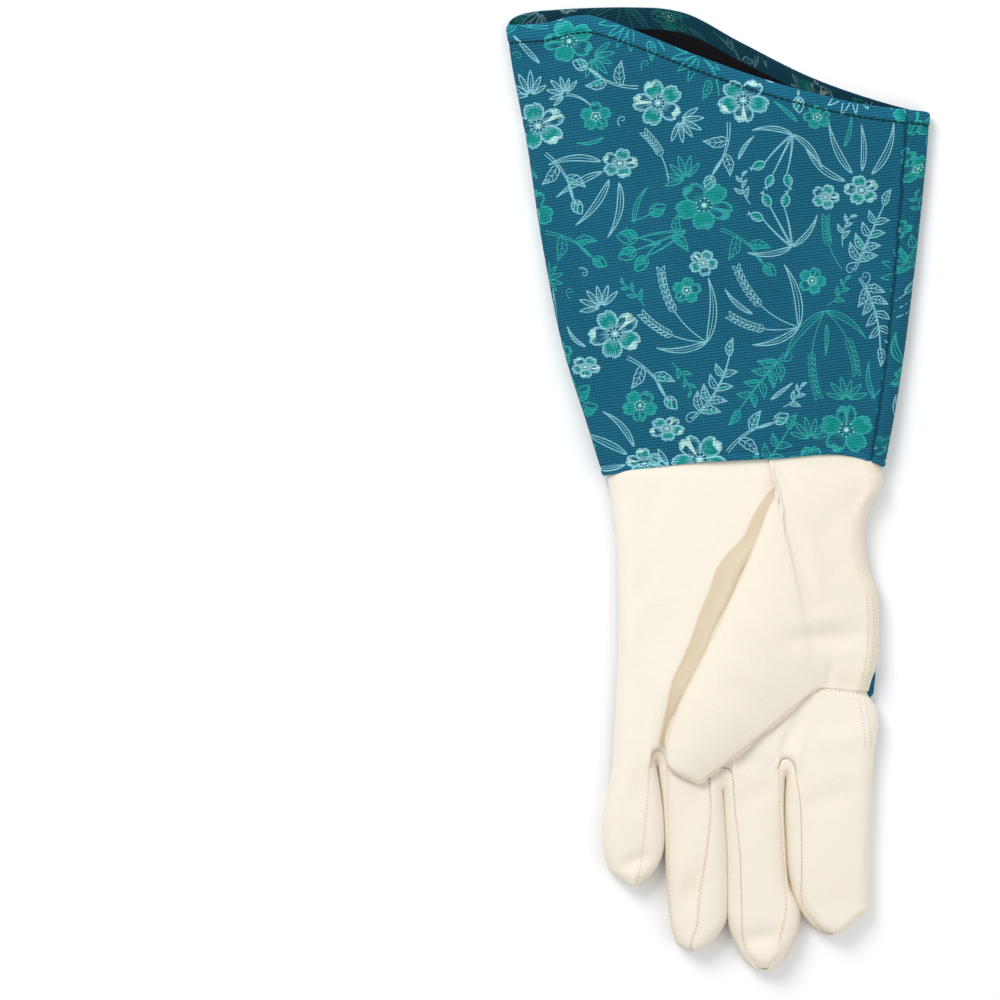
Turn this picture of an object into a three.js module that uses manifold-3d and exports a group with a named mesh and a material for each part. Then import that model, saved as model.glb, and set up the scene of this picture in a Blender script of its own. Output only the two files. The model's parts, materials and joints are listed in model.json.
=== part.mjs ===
// A rose pruning gauntlet for one hand, lying palm up with the thumb folded across the palm.
// Millimetres, +Z up. +Y runs from the fingers to the cuff's mouth, and +X to the index finger's side.
// Every piece is a sheet of cloth or leather, cut from one hollow skin with a seam's gap between the pieces.
import * as THREE from "three";
import { mergeVertices } from "three/addons/utils/BufferGeometryUtils.js";
import Module from "manifold-3d";

const wasm = await Module();
wasm.setup();

// Sheet goods
const leather = 1.2;
const canvas = 1.4;
const liningCloth = 0.8;
const seamGap = 0.3;

// Hand
const handLength = 131;
const palmWidth = 112;
const handThickness = 13.5;
const fingerThickness = 12.2;

// Thumb, which lies across the palm. Its lean is measured from the fingers' direction.
const thumbLength = 95;
const thumbWidth = 62;
const thumbThickness = 10;
const thumbLean = THREE.MathUtils.degToRad(30.3);

// Cuff, which is wider and thicker than the hand at the wrist
const cuffLength = 203.5;
const wristEase = 12.4;
const wristRoom = 3.5;
const mouthWidth = 187;
const mouthThickness = 21;
const tuckLength = 10;
const hemDepth = 11;
const hemEdge = 1.6;
const liningBackset = 3;

// Seams
const backSeamHeight = 3;
const knuckleOverhang = 9;
const fourchetteDrop = 3.4;
const fourchetteTipGap = 11;
const fourchetteRise = 9;
const sideSeamAtMouth = 11.5;
const sideSeamAtWrist = 6.5;

// Sizes that follow
const wristWidth = palmWidth + wristEase;
const wristThickness = handThickness + wristRoom;
const tuckLift = canvas + seamGap;
const liningInset = canvas + seamGap;
const hemInset = liningInset + liningCloth + seamGap;

// Hand sections from below the cuff to the finger crotches.
// along: share of handLength. left, right: share of palmWidth. lift: share of tuckLift.
// edge, crown: share of handThickness.
const handSections = [
  { along: 0.045, left: -0.534, right: 0.55, lift: 0.7, edge: 0.4, crown: 0.19 },
  { along: 0.13, left: -0.515, right: 0.5, lift: 0.18, edge: 0.43, crown: 0.13 },
  { along: 0.25, left: -0.5, right: 0.479, lift: 0.0, edge: 0.44, crown: 0.1 },
  { along: 0.41, left: -0.494, right: 0.524, lift: 0.0, edge: 0.44, crown: 0.1 },
  { along: 0.56, left: -0.493, right: 0.536, lift: 0.0, edge: 0.44, crown: 0.1 },
  { along: 0.71, left: -0.498, right: 0.519, lift: 0.0, edge: 0.44, crown: 0.09 },
  { along: 0.775, left: -0.503, right: 0.507, lift: 0.0, edge: 0.435, crown: 0.08 },
  { along: 0.85, left: -0.507, right: 0.534, lift: 0.0, edge: 0.43, crown: 0.08 },
  { along: 1.0, left: -0.517, right: 0.513, lift: 0.0, edge: 0.41, crown: 0.1 },
];

// Fingers. middle, width: share of palmWidth. length: share of handLength, from the crotch line.
const fingerRows = {
  little: { middle: -0.4375, width: 0.236, length: 0.403 },
  ring: { middle: -0.196, width: 0.233, length: 0.607 },
  middle: { middle: 0.0495, width: 0.236, length: 0.674 },
  index: { middle: 0.337, width: 0.321, length: 0.56 },
};
const fourchetteShare = 0.24;

// Finger sections. along: share of the finger's length. shift, width: share of its width.
// height: share of fingerThickness. lift: share of fingerThickness.
const fingerSections = {
  little: [
    { along: -0.34, shift: 0.07, width: 0.72, height: 0.8, lift: 0.02 },
    { along: 0.0, shift: 0.035, width: 0.92, height: 1.0, lift: 0.0 },
    { along: 0.3, shift: -0.01, width: 1.0, height: 1.0, lift: 0.0 },
    { along: 0.56, shift: -0.02, width: 1.0, height: 0.98, lift: 0.0 },
    { along: 0.72, shift: -0.02, width: 0.92, height: 0.93, lift: 0.01 },
    { along: 0.86, shift: -0.01, width: 0.71, height: 0.84, lift: 0.04 },
    { along: 0.95, shift: 0.0, width: 0.43, height: 0.68, lift: 0.1 },
    { along: 1.0, shift: 0.01, width: 0.17, height: 0.46, lift: 0.18 },
  ],
  ring: [
    { along: -0.23, shift: 0.0, width: 0.8, height: 0.8, lift: 0.02 },
    { along: 0.0, shift: 0.0, width: 0.97, height: 1.0, lift: 0.0 },
    { along: 0.4, shift: 0.0, width: 1.0, height: 1.0, lift: 0.0 },
    { along: 0.68, shift: 0.01, width: 0.97, height: 0.98, lift: 0.0 },
    { along: 0.82, shift: 0.01, width: 0.89, height: 0.93, lift: 0.01 },
    { along: 0.92, shift: -0.01, width: 0.7, height: 0.84, lift: 0.04 },
    { along: 0.975, shift: -0.04, width: 0.42, height: 0.68, lift: 0.1 },
    { along: 1.0, shift: -0.06, width: 0.18, height: 0.46, lift: 0.18 },
  ],
  middle: [
    { along: -0.21, shift: 0.0, width: 0.8, height: 0.8, lift: 0.02 },
    { along: 0.0, shift: 0.0, width: 0.97, height: 1.0, lift: 0.0 },
    { along: 0.4, shift: 0.0, width: 0.98, height: 1.0, lift: 0.0 },
    { along: 0.6, shift: 0.03, width: 1.03, height: 0.98, lift: 0.0 },
    { along: 0.74, shift: 0.08, width: 1.02, height: 0.95, lift: 0.01 },
    { along: 0.87, shift: 0.1, width: 0.82, height: 0.88, lift: 0.03 },
    { along: 0.955, shift: 0.11, width: 0.52, height: 0.7, lift: 0.1 },
    { along: 1.0, shift: 0.12, width: 0.2, height: 0.46, lift: 0.18 },
  ],
  index: [
    { along: -0.25, shift: 0.0, width: 0.8, height: 0.8, lift: 0.02 },
    { along: 0.0, shift: 0.01, width: 0.985, height: 1.0, lift: 0.0 },
    { along: 0.4, shift: -0.005, width: 0.985, height: 1.0, lift: 0.0 },
    { along: 0.68, shift: 0.0, width: 0.97, height: 0.97, lift: 0.0 },
    { along: 0.85, shift: 0.02, width: 0.92, height: 0.9, lift: 0.02 },
    { along: 0.91, shift: 0.03, width: 0.8, height: 0.84, lift: 0.04 },
    { along: 0.965, shift: 0.035, width: 0.5, height: 0.68, lift: 0.1 },
    { along: 1.0, shift: 0.04, width: 0.2, height: 0.46, lift: 0.18 },
  ],
};

// Thumb sections inside the hand, up to the thumb's root. nearX, nearY: the end on the cuff's side.
// farX, farY: the end on the fingers' side, both as shares of palmWidth and handLength.
// lift: share of handThickness. height, edge: share of thumbThickness.
const thumbMouth = [
  { nearX: 0.34, nearY: 0.08, farX: 0.4, farY: 0.735, lift: 0.2, height: 1.1, edge: 0.32 },
  { nearX: 0.225, nearY: 0.09, farX: 0.333, farY: 0.742, lift: 0.52, height: 1.24, edge: 0.32 },
  { nearX: 0.137, nearY: 0.086, farX: 0.29, farY: 0.755, lift: 0.9, height: 0.95, edge: 0.3 },
];

// Thumb sections from the root's middle to the tip. nearOn, farOn: how far on towards the tip each end
// lies, as a share of thumbLength. nearOut, farOut: how far out across it, as a share of thumbWidth.
const thumbSections = [
  { nearOn: -0.118, nearOut: -0.426, farOn: 0.472, farOut: 0.414, lift: 1.05, height: 0.98, edge: 0.3 },
  { nearOn: 0.18, nearOut: -0.369, farOn: 0.666, farOut: 0.317, lift: 1.06, height: 1.0, edge: 0.3 },
  { nearOn: 0.507, nearOut: -0.327, farOn: 0.817, farOut: 0.222, lift: 1.06, height: 1.0, edge: 0.3 },
  { nearOn: 0.794, nearOut: -0.284, farOn: 0.894, farOut: 0.166, lift: 1.06, height: 0.92, edge: 0.3 },
  { nearOn: 0.954, nearOut: -0.22, farOn: 0.959, farOut: 0.13, lift: 1.07, height: 0.76, edge: 0.28 },
  { nearOn: 0.998, nearOut: -0.086, farOn: 0.997, farOut: 0.08, lift: 1.1, height: 0.5, edge: 0.22 },
];

// The wing is the part of the thumb's panel that lies on the hand: seam corners from the cuff to the side.
const wingSeam = [
  { x: 0.106, y: -0.12 },
  { x: 0.106, y: 0.0 },
  { x: 0.314, y: 0.741 },
  { x: 0.487, y: 0.768 },
  { x: 0.62, y: 0.79 },
];

// Cuff sections from the wrist to the mouth. along: share of each edge's own length.
// left, right: share of the cuff's width there. edge, crown: share of its thickness there.
const cuffSections = [
  { along: 0.0, left: -0.499, right: 0.4976, edge: 0.4, crown: 0.2 },
  { along: 0.12, left: -0.526, right: 0.4977, edge: 0.37, crown: 0.26 },
  { along: 0.25, left: -0.5548, right: 0.4934, edge: 0.33, crown: 0.34 },
  { along: 0.5, left: -0.5665, right: 0.478, edge: 0.27, crown: 0.46 },
  { along: 0.75, left: -0.5598, right: 0.4599, edge: 0.23, crown: 0.54 },
  { along: 0.93, left: -0.5622, right: 0.446, edge: 0.22, crown: 0.56 },
  { along: 1.0, left: -0.5588, right: 0.439, edge: 0.22, crown: 0.56 },
];

// Edges of the cuff seen from above. across: 0 at the left fold, 1 at the right fold.
// y: share of cuffLength for the mouth's front and back lips, and of tuckLength for the wrist's edge.
const mouthFront = [
  { across: 0.0, y: 0.962 },
  { across: 0.1, y: 0.981 },
  { across: 0.2, y: 0.979 },
  { across: 0.33, y: 0.936 },
  { across: 0.5, y: 0.872 },
  { across: 0.65, y: 0.827 },
  { across: 0.8, y: 0.794 },
  { across: 1.0, y: 0.7695 },
];
const mouthBack = [
  { across: 0.0, y: 0.962 },
  { across: 0.1, y: 0.987 },
  { across: 0.22, y: 0.9985 },
  { across: 0.33, y: 0.998 },
  { across: 0.42, y: 0.978 },
  { across: 0.55, y: 0.918 },
  { across: 0.72, y: 0.84 },
  { across: 0.88, y: 0.793 },
  { across: 1.0, y: 0.7695 },
];
const wristEdge = [
  { across: 0.0, y: -0.346 },
  { across: 0.25, y: 0.122 },
  { across: 0.6, y: 0.387 },
  { across: 0.88, y: 0.488 },
  { across: 1.0, y: 0.04 },
];

// Shallow dents in the palm and the thumb's wing. x: share of palmWidth. y: share of handLength.
// reach, depth: share of handThickness. They lower only what lies above dentsFrom, a share of it too.
const dents = [
  { x: 0.4, y: 0.27, reach: 1.1, depth: 0.1 },
  { x: 0.36, y: 0.6, reach: 1.0, depth: 0.09 },
  { x: -0.06, y: 0.9, reach: 1.2, depth: 0.08 },
];
const dentsFrom = 0.7;

// How round a finger's sides are: share of its height, but no more than a share of half its width.
const fingerRound = 0.41;
const fingerRoundLimit = 0.8;

// How thick a fingertip's wall may be at most: share of half the finger's width, and of its height.
const tipWall = 0.55;
const tipFloor = 0.3;

// Smallest radius and smallest flat of a section, how far cuts reach past what they cut, and how close
// two corners are merged
const leastRadius = 0.25;
const leastFlat = 0.2;
const margin = 5;
const cornerGap = 1e-4;

// Reads a column of a table at a place along it, with a smooth curve through the rows.
function readTable(rows, key, place, column) {
  let i = 0;
  while (i < rows.length - 2 && place > rows[i + 1][key]) i += 1;
  const before = rows[Math.max(i - 1, 0)];
  const from = rows[i];
  const to = rows[i + 1];
  const after = rows[Math.min(i + 2, rows.length - 1)];
  const span = to[key] - from[key];
  const t = THREE.MathUtils.clamp((place - from[key]) / span, 0, 1);
  const slopeFrom = before === from ? to[column] - from[column]
    : ((to[column] - before[column]) / (to[key] - before[key])) * span;
  const slopeTo = after === to ? to[column] - from[column]
    : ((after[column] - from[column]) / (after[key] - from[key])) * span;
  const t2 = t * t;
  const t3 = t2 * t;
  return (2 * t3 - 3 * t2 + 1) * from[column] + (t3 - 2 * t2 + t) * slopeFrom
    + (-2 * t3 + 3 * t2) * to[column] + (t3 - t2) * slopeTo;
}

// One closed section of a flattened tube: a flat bottom, a round fold at each side and a crowned top.
// It stands on the line from a to b, seen from above, and inset moves every wall inwards.
function ring(section, inset, counts) {
  const { a, b, lift, edge, crown } = section;
  const width = Math.hypot(b.x - a.x, b.y - a.y);
  const radius = Math.max(edge - inset, leastRadius);
  const low = lift + inset;
  const reach = width - 2 * inset;
  const flat = Math.max(reach - 2 * radius, leastFlat);
  const points = [];
  const add = (u, z, under) => {
    const share = (u + inset) / width;
    points.push({
      x: THREE.MathUtils.lerp(a.x, b.x, share),
      y: THREE.MathUtils.lerp(a.y, b.y, share),
      z,
      across: THREE.MathUtils.clamp(share, 0, 1),
      under,
    });
  };
  for (let i = 0; i < counts.bottom; i += 1) add(radius + (flat * i) / counts.bottom, low, true);
  for (let i = 0; i < counts.side; i += 1) {
    const angle = -Math.PI / 2 + (Math.PI * i) / counts.side;
    const z = low + radius + radius * Math.sin(angle);
    add(radius + flat + radius * Math.cos(angle), z, i < counts.side / 2);
  }
  for (let i = 0; i < counts.top; i += 1) {
    const u = 1 - (2 * i) / counts.top;
    add(radius + (flat * (1 + u)) / 2, low + 2 * radius + crown * (1 - u * u), false);
  }
  for (let i = 0; i < counts.side; i += 1) {
    const angle = Math.PI / 2 + (Math.PI * i) / counts.side;
    const z = low + radius + radius * Math.sin(angle);
    add(radius + radius * Math.cos(angle), z, i >= counts.side / 2);
  }
  return points;
}

// Triangles between each ring and the next one in the list of pairs.
function skinIndex(count, pairs) {
  const index = [];
  for (const [from, to] of pairs) {
    for (let i = 0; i < count; i += 1) {
      const next = (i + 1) % count;
      const a = from * count;
      const b = to * count;
      index.push(a + i, a + next, b + i, a + next, b + next, b + i);
    }
  }
  return index;
}

function solidOf(positions, index) {
  const geometry = new THREE.BufferGeometry();
  geometry.setAttribute("position", new THREE.Float32BufferAttribute(positions, 3));
  geometry.setIndex(index);
  return toSolid(geometry);
}

// A closed solid through rings of points, with a fan over each end.
function loft(rings) {
  const count = rings[0].length;
  const positions = rings.flat().flatMap((p) => [p.x, p.y, p.z]);
  const index = skinIndex(count, rings.slice(1).map((_, i) => [i, i + 1]));
  [rings[0], rings[rings.length - 1]].forEach((points, end) => {
    const start = end * (rings.length - 1) * count;
    const centre = positions.length / 3;
    const mean = (key) => points.reduce((sum, p) => sum + p[key], 0) / count;
    positions.push(mean("x"), mean("y"), mean("z"));
    for (let i = 0; i < count; i += 1) {
      const pair = [start + i, start + ((i + 1) % count)];
      index.push(centre, ...(end ? pair : pair.reverse()));
    }
  });
  return solidOf(positions, index);
}

// A tube's wall, from its outer rings round to its inner ones.
function wall(outer, inner) {
  const rings = [...outer, ...inner.toReversed()];
  const positions = rings.flat().flatMap((p) => [p.x, p.y, p.z]);
  return solidOf(positions, skinIndex(outer[0].length, rings.map((_, i) => [i, (i + 1) % rings.length])));
}

function toSolid(geometry) {
  const bare = geometry.clone();
  bare.deleteAttribute("normal");
  bare.deleteAttribute("uv");
  const merged = mergeVertices(bare, cornerGap);
  const triVerts = new Uint32Array(merged.index.array);
  const build = () => new wasm.Manifold(
    new wasm.Mesh({ numProp: 3, vertProperties: merged.attributes.position.array, triVerts }),
  );
  const made = build();
  if (made.volume() > 0) return made;
  for (let i = 0; i < triVerts.length; i += 3) {
    [triVerts[i + 1], triVerts[i + 2]] = [triVerts[i + 2], triVerts[i + 1]];
  }
  return build();
}

// A vertical block over an outline seen from above.
function block(outline, low, high) {
  const shape = new THREE.Shape(outline.map((p) => new THREE.Vector2(p.x, p.y)));
  const geometry = new THREE.ExtrudeGeometry(shape, { depth: high - low, bevelEnabled: false });
  geometry.translate(0, 0, low);
  return toSolid(geometry);
}

const rectangle = (left, right, near, far) => [
  { x: left, y: near },
  { x: right, y: near },
  { x: right, y: far },
  { x: left, y: far },
];

// Lowers a point of the hand's upper side by the dents near it.
function dented(point) {
  if (point.z < dentsFrom * handThickness) return point;
  let drop = 0;
  for (const dent of dents) {
    const reach = dent.reach * handThickness;
    const dx = (point.x - dent.x * palmWidth) / reach;
    const dy = (point.y + dent.y * handLength) / reach;
    drop += dent.depth * handThickness * Math.exp(-(dx * dx + dy * dy));
  }
  return { ...point, z: point.z - drop };
}

// The cuff's section at a share of the way from the wrist to the mouth
function cuffSection(along) {
  const column = (name) => readTable(cuffSections, "along", along, name);
  const width = THREE.MathUtils.lerp(wristWidth, mouthWidth, along);
  const thickness = THREE.MathUtils.lerp(wristThickness, mouthThickness, along);
  return {
    a: { x: column("left") * width, y: 0 },
    b: { x: column("right") * width, y: 0 },
    lift: 0,
    edge: column("edge") * thickness,
    crown: column("crown") * thickness,
  };
}

// Hand body: its first two sections fit inside the cuff's wrist. stretch: how far its open end goes past
// the tuck.
const handCounts = { bottom: 4, side: 4, top: 10 };

function handSolid(inset, stretch) {
  const tuck = ring(cuffSection(0), tuckLift + inset, handCounts);
  const tucked = [tuckLength + stretch, 0].map((y) => tuck.map((p) => ({ ...p, y })));
  const last = handSections.length - 1;
  const below = handSections.map((row, i) => {
    const y = -row.along * handLength + (i === last ? inset : 0);
    const section = {
      a: { x: row.left * palmWidth, y },
      b: { x: row.right * palmWidth, y },
      lift: row.lift * tuckLift,
      edge: row.edge * handThickness,
      crown: row.crown * handThickness,
    };
    return ring(section, inset, handCounts).map(dented);
  });
  return loft([...tucked, ...below]);
}

// Fingers
const fingerCounts = { bottom: 3, side: 4, top: 5 };
const crotchY = -handLength;
const fingerNames = Object.keys(fingerRows);
const fingerWidth = (name) => fingerRows[name].width * palmWidth;
const fingerLength = (name) => fingerRows[name].length * handLength;
const fingerMiddle = (name) => fingerRows[name].middle * palmWidth;
const fingerTipY = (name) => crotchY - fingerLength(name);

function fingerSolid(name, inset) {
  const rows = fingerSections[name];
  const width = fingerWidth(name);
  return loft(rows.map((row, i) => {
    const y = crotchY - row.along * fingerLength(name) + (i === rows.length - 1 ? inset : 0);
    const middle = fingerMiddle(name) + row.shift * width;
    const half = (row.width * width) / 2;
    const height = row.height * fingerThickness;
    const edge = Math.min(height * fingerRound, half * fingerRoundLimit);
    const section = {
      a: { x: middle - half, y },
      b: { x: middle + half, y },
      lift: row.lift * fingerThickness,
      edge,
      crown: height - 2 * edge,
    };
    return ring(section, Math.min(inset, half * tipWall, height * tipFloor), fingerCounts);
  }));
}

// Thumb
const thumbCounts = { bottom: 5, side: 4, top: 7 };
const thumbRings = (() => {
  const inHand = thumbMouth.map((row) => ({
    ...row,
    a: { x: row.nearX * palmWidth, y: -row.nearY * handLength },
    b: { x: row.farX * palmWidth, y: -row.farY * handLength },
  }));
  const root = inHand[inHand.length - 1];
  const ahead = { x: -Math.sin(thumbLean), y: -Math.cos(thumbLean) };
  const place = (on, out) => ({
    x: (root.a.x + root.b.x) / 2 + on * thumbLength * ahead.x - out * thumbWidth * ahead.y,
    y: (root.a.y + root.b.y) / 2 + on * thumbLength * ahead.y + out * thumbWidth * ahead.x,
  });
  const beyond = thumbSections.map((row) => ({
    ...row,
    a: place(row.nearOn, row.nearOut),
    b: place(row.farOn, row.farOut),
  }));
  return [...inHand, ...beyond];
})();

function thumbSolid(inset) {
  return loft(thumbRings.map((row, i) => {
    const height = row.height * thumbThickness;
    const edge = row.edge * thumbThickness;
    const back = i === thumbRings.length - 1 ? inset : 0;
    const section = {
      a: { x: row.a.x + back, y: row.a.y + back },
      b: { x: row.b.x + back, y: row.b.y + back },
      lift: row.lift * handThickness,
      edge,
      crown: height - 2 * edge,
    };
    return ring(section, inset, thumbCounts);
  }));
}

// Seam outlines seen from above
const wingOutline = (grow) => {
  const corners = wingSeam.map((p) => ({ x: p.x * palmWidth, y: -p.y * handLength }));
  const far = corners[corners.length - 1].x;
  return [
    { x: corners[0].x - grow, y: corners[0].y },
    { x: corners[1].x - grow, y: corners[1].y },
    { x: corners[2].x - grow, y: corners[2].y - grow },
    { x: corners[3].x, y: corners[3].y - grow },
    { x: corners[4].x, y: corners[4].y - grow },
    { x: far, y: corners[0].y },
  ];
};

// The strip between two fingers, from above the crotch to short of the shorter finger's tip.
function gapOutline(left, right, grow) {
  const nearTip = Math.max(fingerTipY(left), fingerTipY(right)) + fourchetteTipGap;
  const from = fingerMiddle(left) + fourchetteShare * fingerWidth(left);
  const to = fingerMiddle(right) - fourchetteShare * fingerWidth(right);
  return rectangle(from - grow, to + grow, nearTip - grow, crotchY + fourchetteRise + grow);
}

// Hand pieces, cut from one hollow skin
const allAround = palmWidth;
const overTop = 3 * handThickness;
const under = -margin;
const farY = crotchY - 2 * handLength;
const unite = (solids) => solids.reduce((sum, one) => sum.add(one));
const body = unite([
  handSolid(0, 0),
  ...fingerNames.map((name) => fingerSolid(name, 0)),
  thumbSolid(0),
]);
const skinOf = (cloth) => body.subtract(unite([
  handSolid(cloth, margin),
  ...fingerNames.map((name) => fingerSolid(name, cloth)),
  thumbSolid(cloth),
]));
const leatherSkin = skinOf(leather);
const upper = block(rectangle(-allAround, allAround, farY, handLength), backSeamHeight + seamGap, overTop);
const upperSkin = leatherSkin.intersect(upper);

const wing = block(wingOutline(0), under, overTop);
const wingRoom = block(wingOutline(seamGap), under, overTop);
const thumbPanel = upperSkin.intersect(thumbSolid(0).add(wing));
const gaps = [
  ["little", "ring"],
  ["ring", "middle"],
  ["middle", "index"],
];
const fourchetteTop = fingerThickness - fourchetteDrop;
const fourchettes = gaps.map(([left, right]) => ({
  name: `fourchette_${left}_${right}`,
  solid: upperSkin.intersect(block(gapOutline(left, right, 0), under, fourchetteTop)),
}));
const fourchetteRoom = unite(
  gaps.map(([left, right]) => block(gapOutline(left, right, seamGap), under, fourchetteTop + seamGap)),
);
const palmPanel = upperSkin
  .subtract(thumbSolid(-seamGap))
  .subtract(wingRoom)
  .subtract(fourchetteRoom);

const knuckleY = crotchY - knuckleOverhang;
const backPanel = skinOf(canvas).intersect(
  block(rectangle(-allAround, allAround, knuckleY, handLength), under, backSeamHeight),
);
const beyondKnuckles = leatherSkin.intersect(
  block(rectangle(-allAround, allAround, farY, knuckleY - seamGap), under, backSeamHeight),
);
const fingerBacks = fingerNames.map((name) => ({
  name: `finger_back_${name}`,
  solid: beyondKnuckles.intersect(fingerSolid(name, 0)),
}));

// Cuff
const cuffCounts = { bottom: 12, side: 4, top: 14 };

// One ring of the cuff. inset: how far inside the canvas's outer face.
function cuffRing(along, inset) {
  return ring(cuffSection(along), inset, cuffCounts).map((p) => {
    const lip = p.under ? mouthBack : mouthFront;
    const mouth = readTable(lip, "across", p.across, "y") * cuffLength;
    const wrist = readTable(wristEdge, "across", p.across, "y") * tuckLength;
    return { ...p, y: THREE.MathUtils.lerp(wrist, mouth, along) };
  });
}

// Shares along the cuff where its plies begin and end
const lipShare = mouthFront.reduce((sum, row) => sum + row.y, 0) / mouthFront.length;
const shareOf = (length) => length / (lipShare * cuffLength);
const hemFrom = 1 - shareOf(hemDepth);
const edgeFrom = 1 - shareOf(hemEdge);
const liningFrom = shareOf(tuckLength + liningBackset);
const liningTo = 1 - shareOf(hemEdge + liningBackset);
const cuffStops = [...cuffSections.map((row) => row.along), hemFrom, edgeFrom, liningFrom, liningTo];
cuffStops.sort((a, b) => a - b);

// A tube of cloth between two places along the cuff, from one inset to another.
function cuffTube(from, to, outer, inner) {
  const stops = cuffStops.filter((along) => along >= from && along <= to);
  return wall(
    stops.map((along) => cuffRing(along, outer)),
    stops.map((along) => cuffRing(along, inner)),
  );
}

// The slit where the panel's two side edges meet, through its upper wall
const sideSeam = (() => {
  const { b: wrist, edge } = cuffSection(0);
  const mouthX = cuffSection(1).b.x - sideSeamAtMouth;
  const wristX = wrist.x - sideSeamAtWrist;
  const lean = (mouthX - wristX) / (mouthFront[mouthFront.length - 1].y * cuffLength);
  const half = seamGap / 2;
  const end = (side, y) => ({ x: wristX + side * half + lean * y, y });
  return block(
    [end(-1, -cuffLength), end(1, -cuffLength), end(1, cuffLength), end(-1, cuffLength)],
    edge,
    2 * mouthThickness,
  );
})();

const cuffPanel = cuffTube(0, 1, 0, canvas)
  .add(cuffTube(hemFrom, 1, hemInset, hemInset + canvas))
  .add(cuffTube(edgeFrom, 1, canvas / 2, hemInset + canvas / 2))
  .subtract(sideSeam);
const cuffLining = cuffTube(liningFrom, liningTo, liningInset, liningInset + liningCloth);

// Finishes
const finish = (color, roughness) => new THREE.MeshStandardMaterial({ color, roughness, metalness: 0 });
const creamLeather = finish(0xf1e8d6, 0.62);
const tealCanvas = finish(0x1d5b78, 0.8);
const blackLining = finish(0x14151a, 0.9);

function toMesh(name, solid, material) {
  const { vertProperties, triVerts, numProp } = solid.getMesh();
  const positions = [];
  for (let i = 0; i < vertProperties.length; i += numProp) {
    positions.push(vertProperties[i], vertProperties[i + 1], vertProperties[i + 2]);
  }
  const geometry = new THREE.BufferGeometry();
  geometry.setAttribute("position", new THREE.Float32BufferAttribute(positions, 3));
  geometry.setIndex([...triVerts]);
  geometry.computeVertexNormals();
  const mesh = new THREE.Mesh(geometry, material);
  mesh.name = name;
  return mesh;
}

const gauntlet = new THREE.Group();
gauntlet.add(
  toMesh("cuff_panel", cuffPanel, tealCanvas),
  toMesh("cuff_lining", cuffLining, blackLining),
  toMesh("palm_panel", palmPanel, creamLeather),
  toMesh("thumb_panel", thumbPanel, creamLeather),
  toMesh("back_panel", backPanel, tealCanvas),
  ...fourchettes.map(({ name, solid }) => toMesh(name, solid, creamLeather)),
  ...fingerBacks.map(({ name, solid }) => toMesh(name, solid, creamLeather)),
);

// The frame's origin is the middle of the underside's box.
const box = new THREE.Box3().setFromObject(gauntlet, true);
const centre = box.getCenter(new THREE.Vector3());
gauntlet.position.set(-centre.x, -centre.y, -box.min.z);

export default gauntlet;
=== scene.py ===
"""A rose pruning gauntlet lying palm up: cream leather hand, folded thumb, printed canvas cuff."""
import json
import logging
import math
from dataclasses import dataclass, field
from enum import Enum

import bmesh
import bpy
import numpy as np
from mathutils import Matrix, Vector
from mathutils.bvhtree import BVHTree

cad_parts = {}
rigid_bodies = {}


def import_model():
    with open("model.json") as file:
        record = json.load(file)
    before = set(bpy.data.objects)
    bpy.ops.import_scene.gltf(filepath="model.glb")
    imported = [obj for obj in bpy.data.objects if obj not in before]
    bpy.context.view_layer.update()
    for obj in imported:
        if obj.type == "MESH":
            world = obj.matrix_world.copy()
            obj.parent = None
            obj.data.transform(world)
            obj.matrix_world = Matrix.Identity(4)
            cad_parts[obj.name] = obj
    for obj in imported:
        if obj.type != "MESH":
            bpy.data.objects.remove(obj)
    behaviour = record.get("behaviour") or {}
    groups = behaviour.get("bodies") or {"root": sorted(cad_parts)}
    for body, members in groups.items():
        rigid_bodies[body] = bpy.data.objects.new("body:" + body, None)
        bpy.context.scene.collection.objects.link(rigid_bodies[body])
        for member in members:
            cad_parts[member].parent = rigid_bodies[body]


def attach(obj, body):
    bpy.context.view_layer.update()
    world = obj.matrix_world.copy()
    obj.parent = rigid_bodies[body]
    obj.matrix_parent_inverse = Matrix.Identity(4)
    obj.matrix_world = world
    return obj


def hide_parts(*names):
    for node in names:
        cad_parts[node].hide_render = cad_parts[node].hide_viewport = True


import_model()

log = logging.getLogger("gauntlet")
MM = 0.001
# Where the hand's own drawing origin, the middle of the wrist, lies in the frame, in mm
WRIST_PLACE = np.array([11.2013, 7.88385, 0.0])
# The drawing is seen from this far above the height at which one step on it is 0.44 mm, over its middle
DRAWING_HEIGHT, EYE_ABOVE, DRAWING_MIDDLE = 8.0, 1222.0, 500.0
# One step on the drawing in mm, and where the middle of the wrist is on it
STEP, WRIST_ON_DRAWING = 0.44, (744, 468)
# Heights in mm at which the finger seams, the dents and the thumb's cloth are read off the drawing
SEAM_HEIGHT, DENT_HEIGHT, THUMB_HEIGHTS = 12.5, 14.0, (19.0, 17.0)
# Points nearer to each other than this, in metres, become one, and edges sharper than this, in degrees, stay sharp
MERGED, SHARP = 2e-5, 48
# Cloth on the floor lies this far above it
FLOOR_GAP = 0.3


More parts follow.
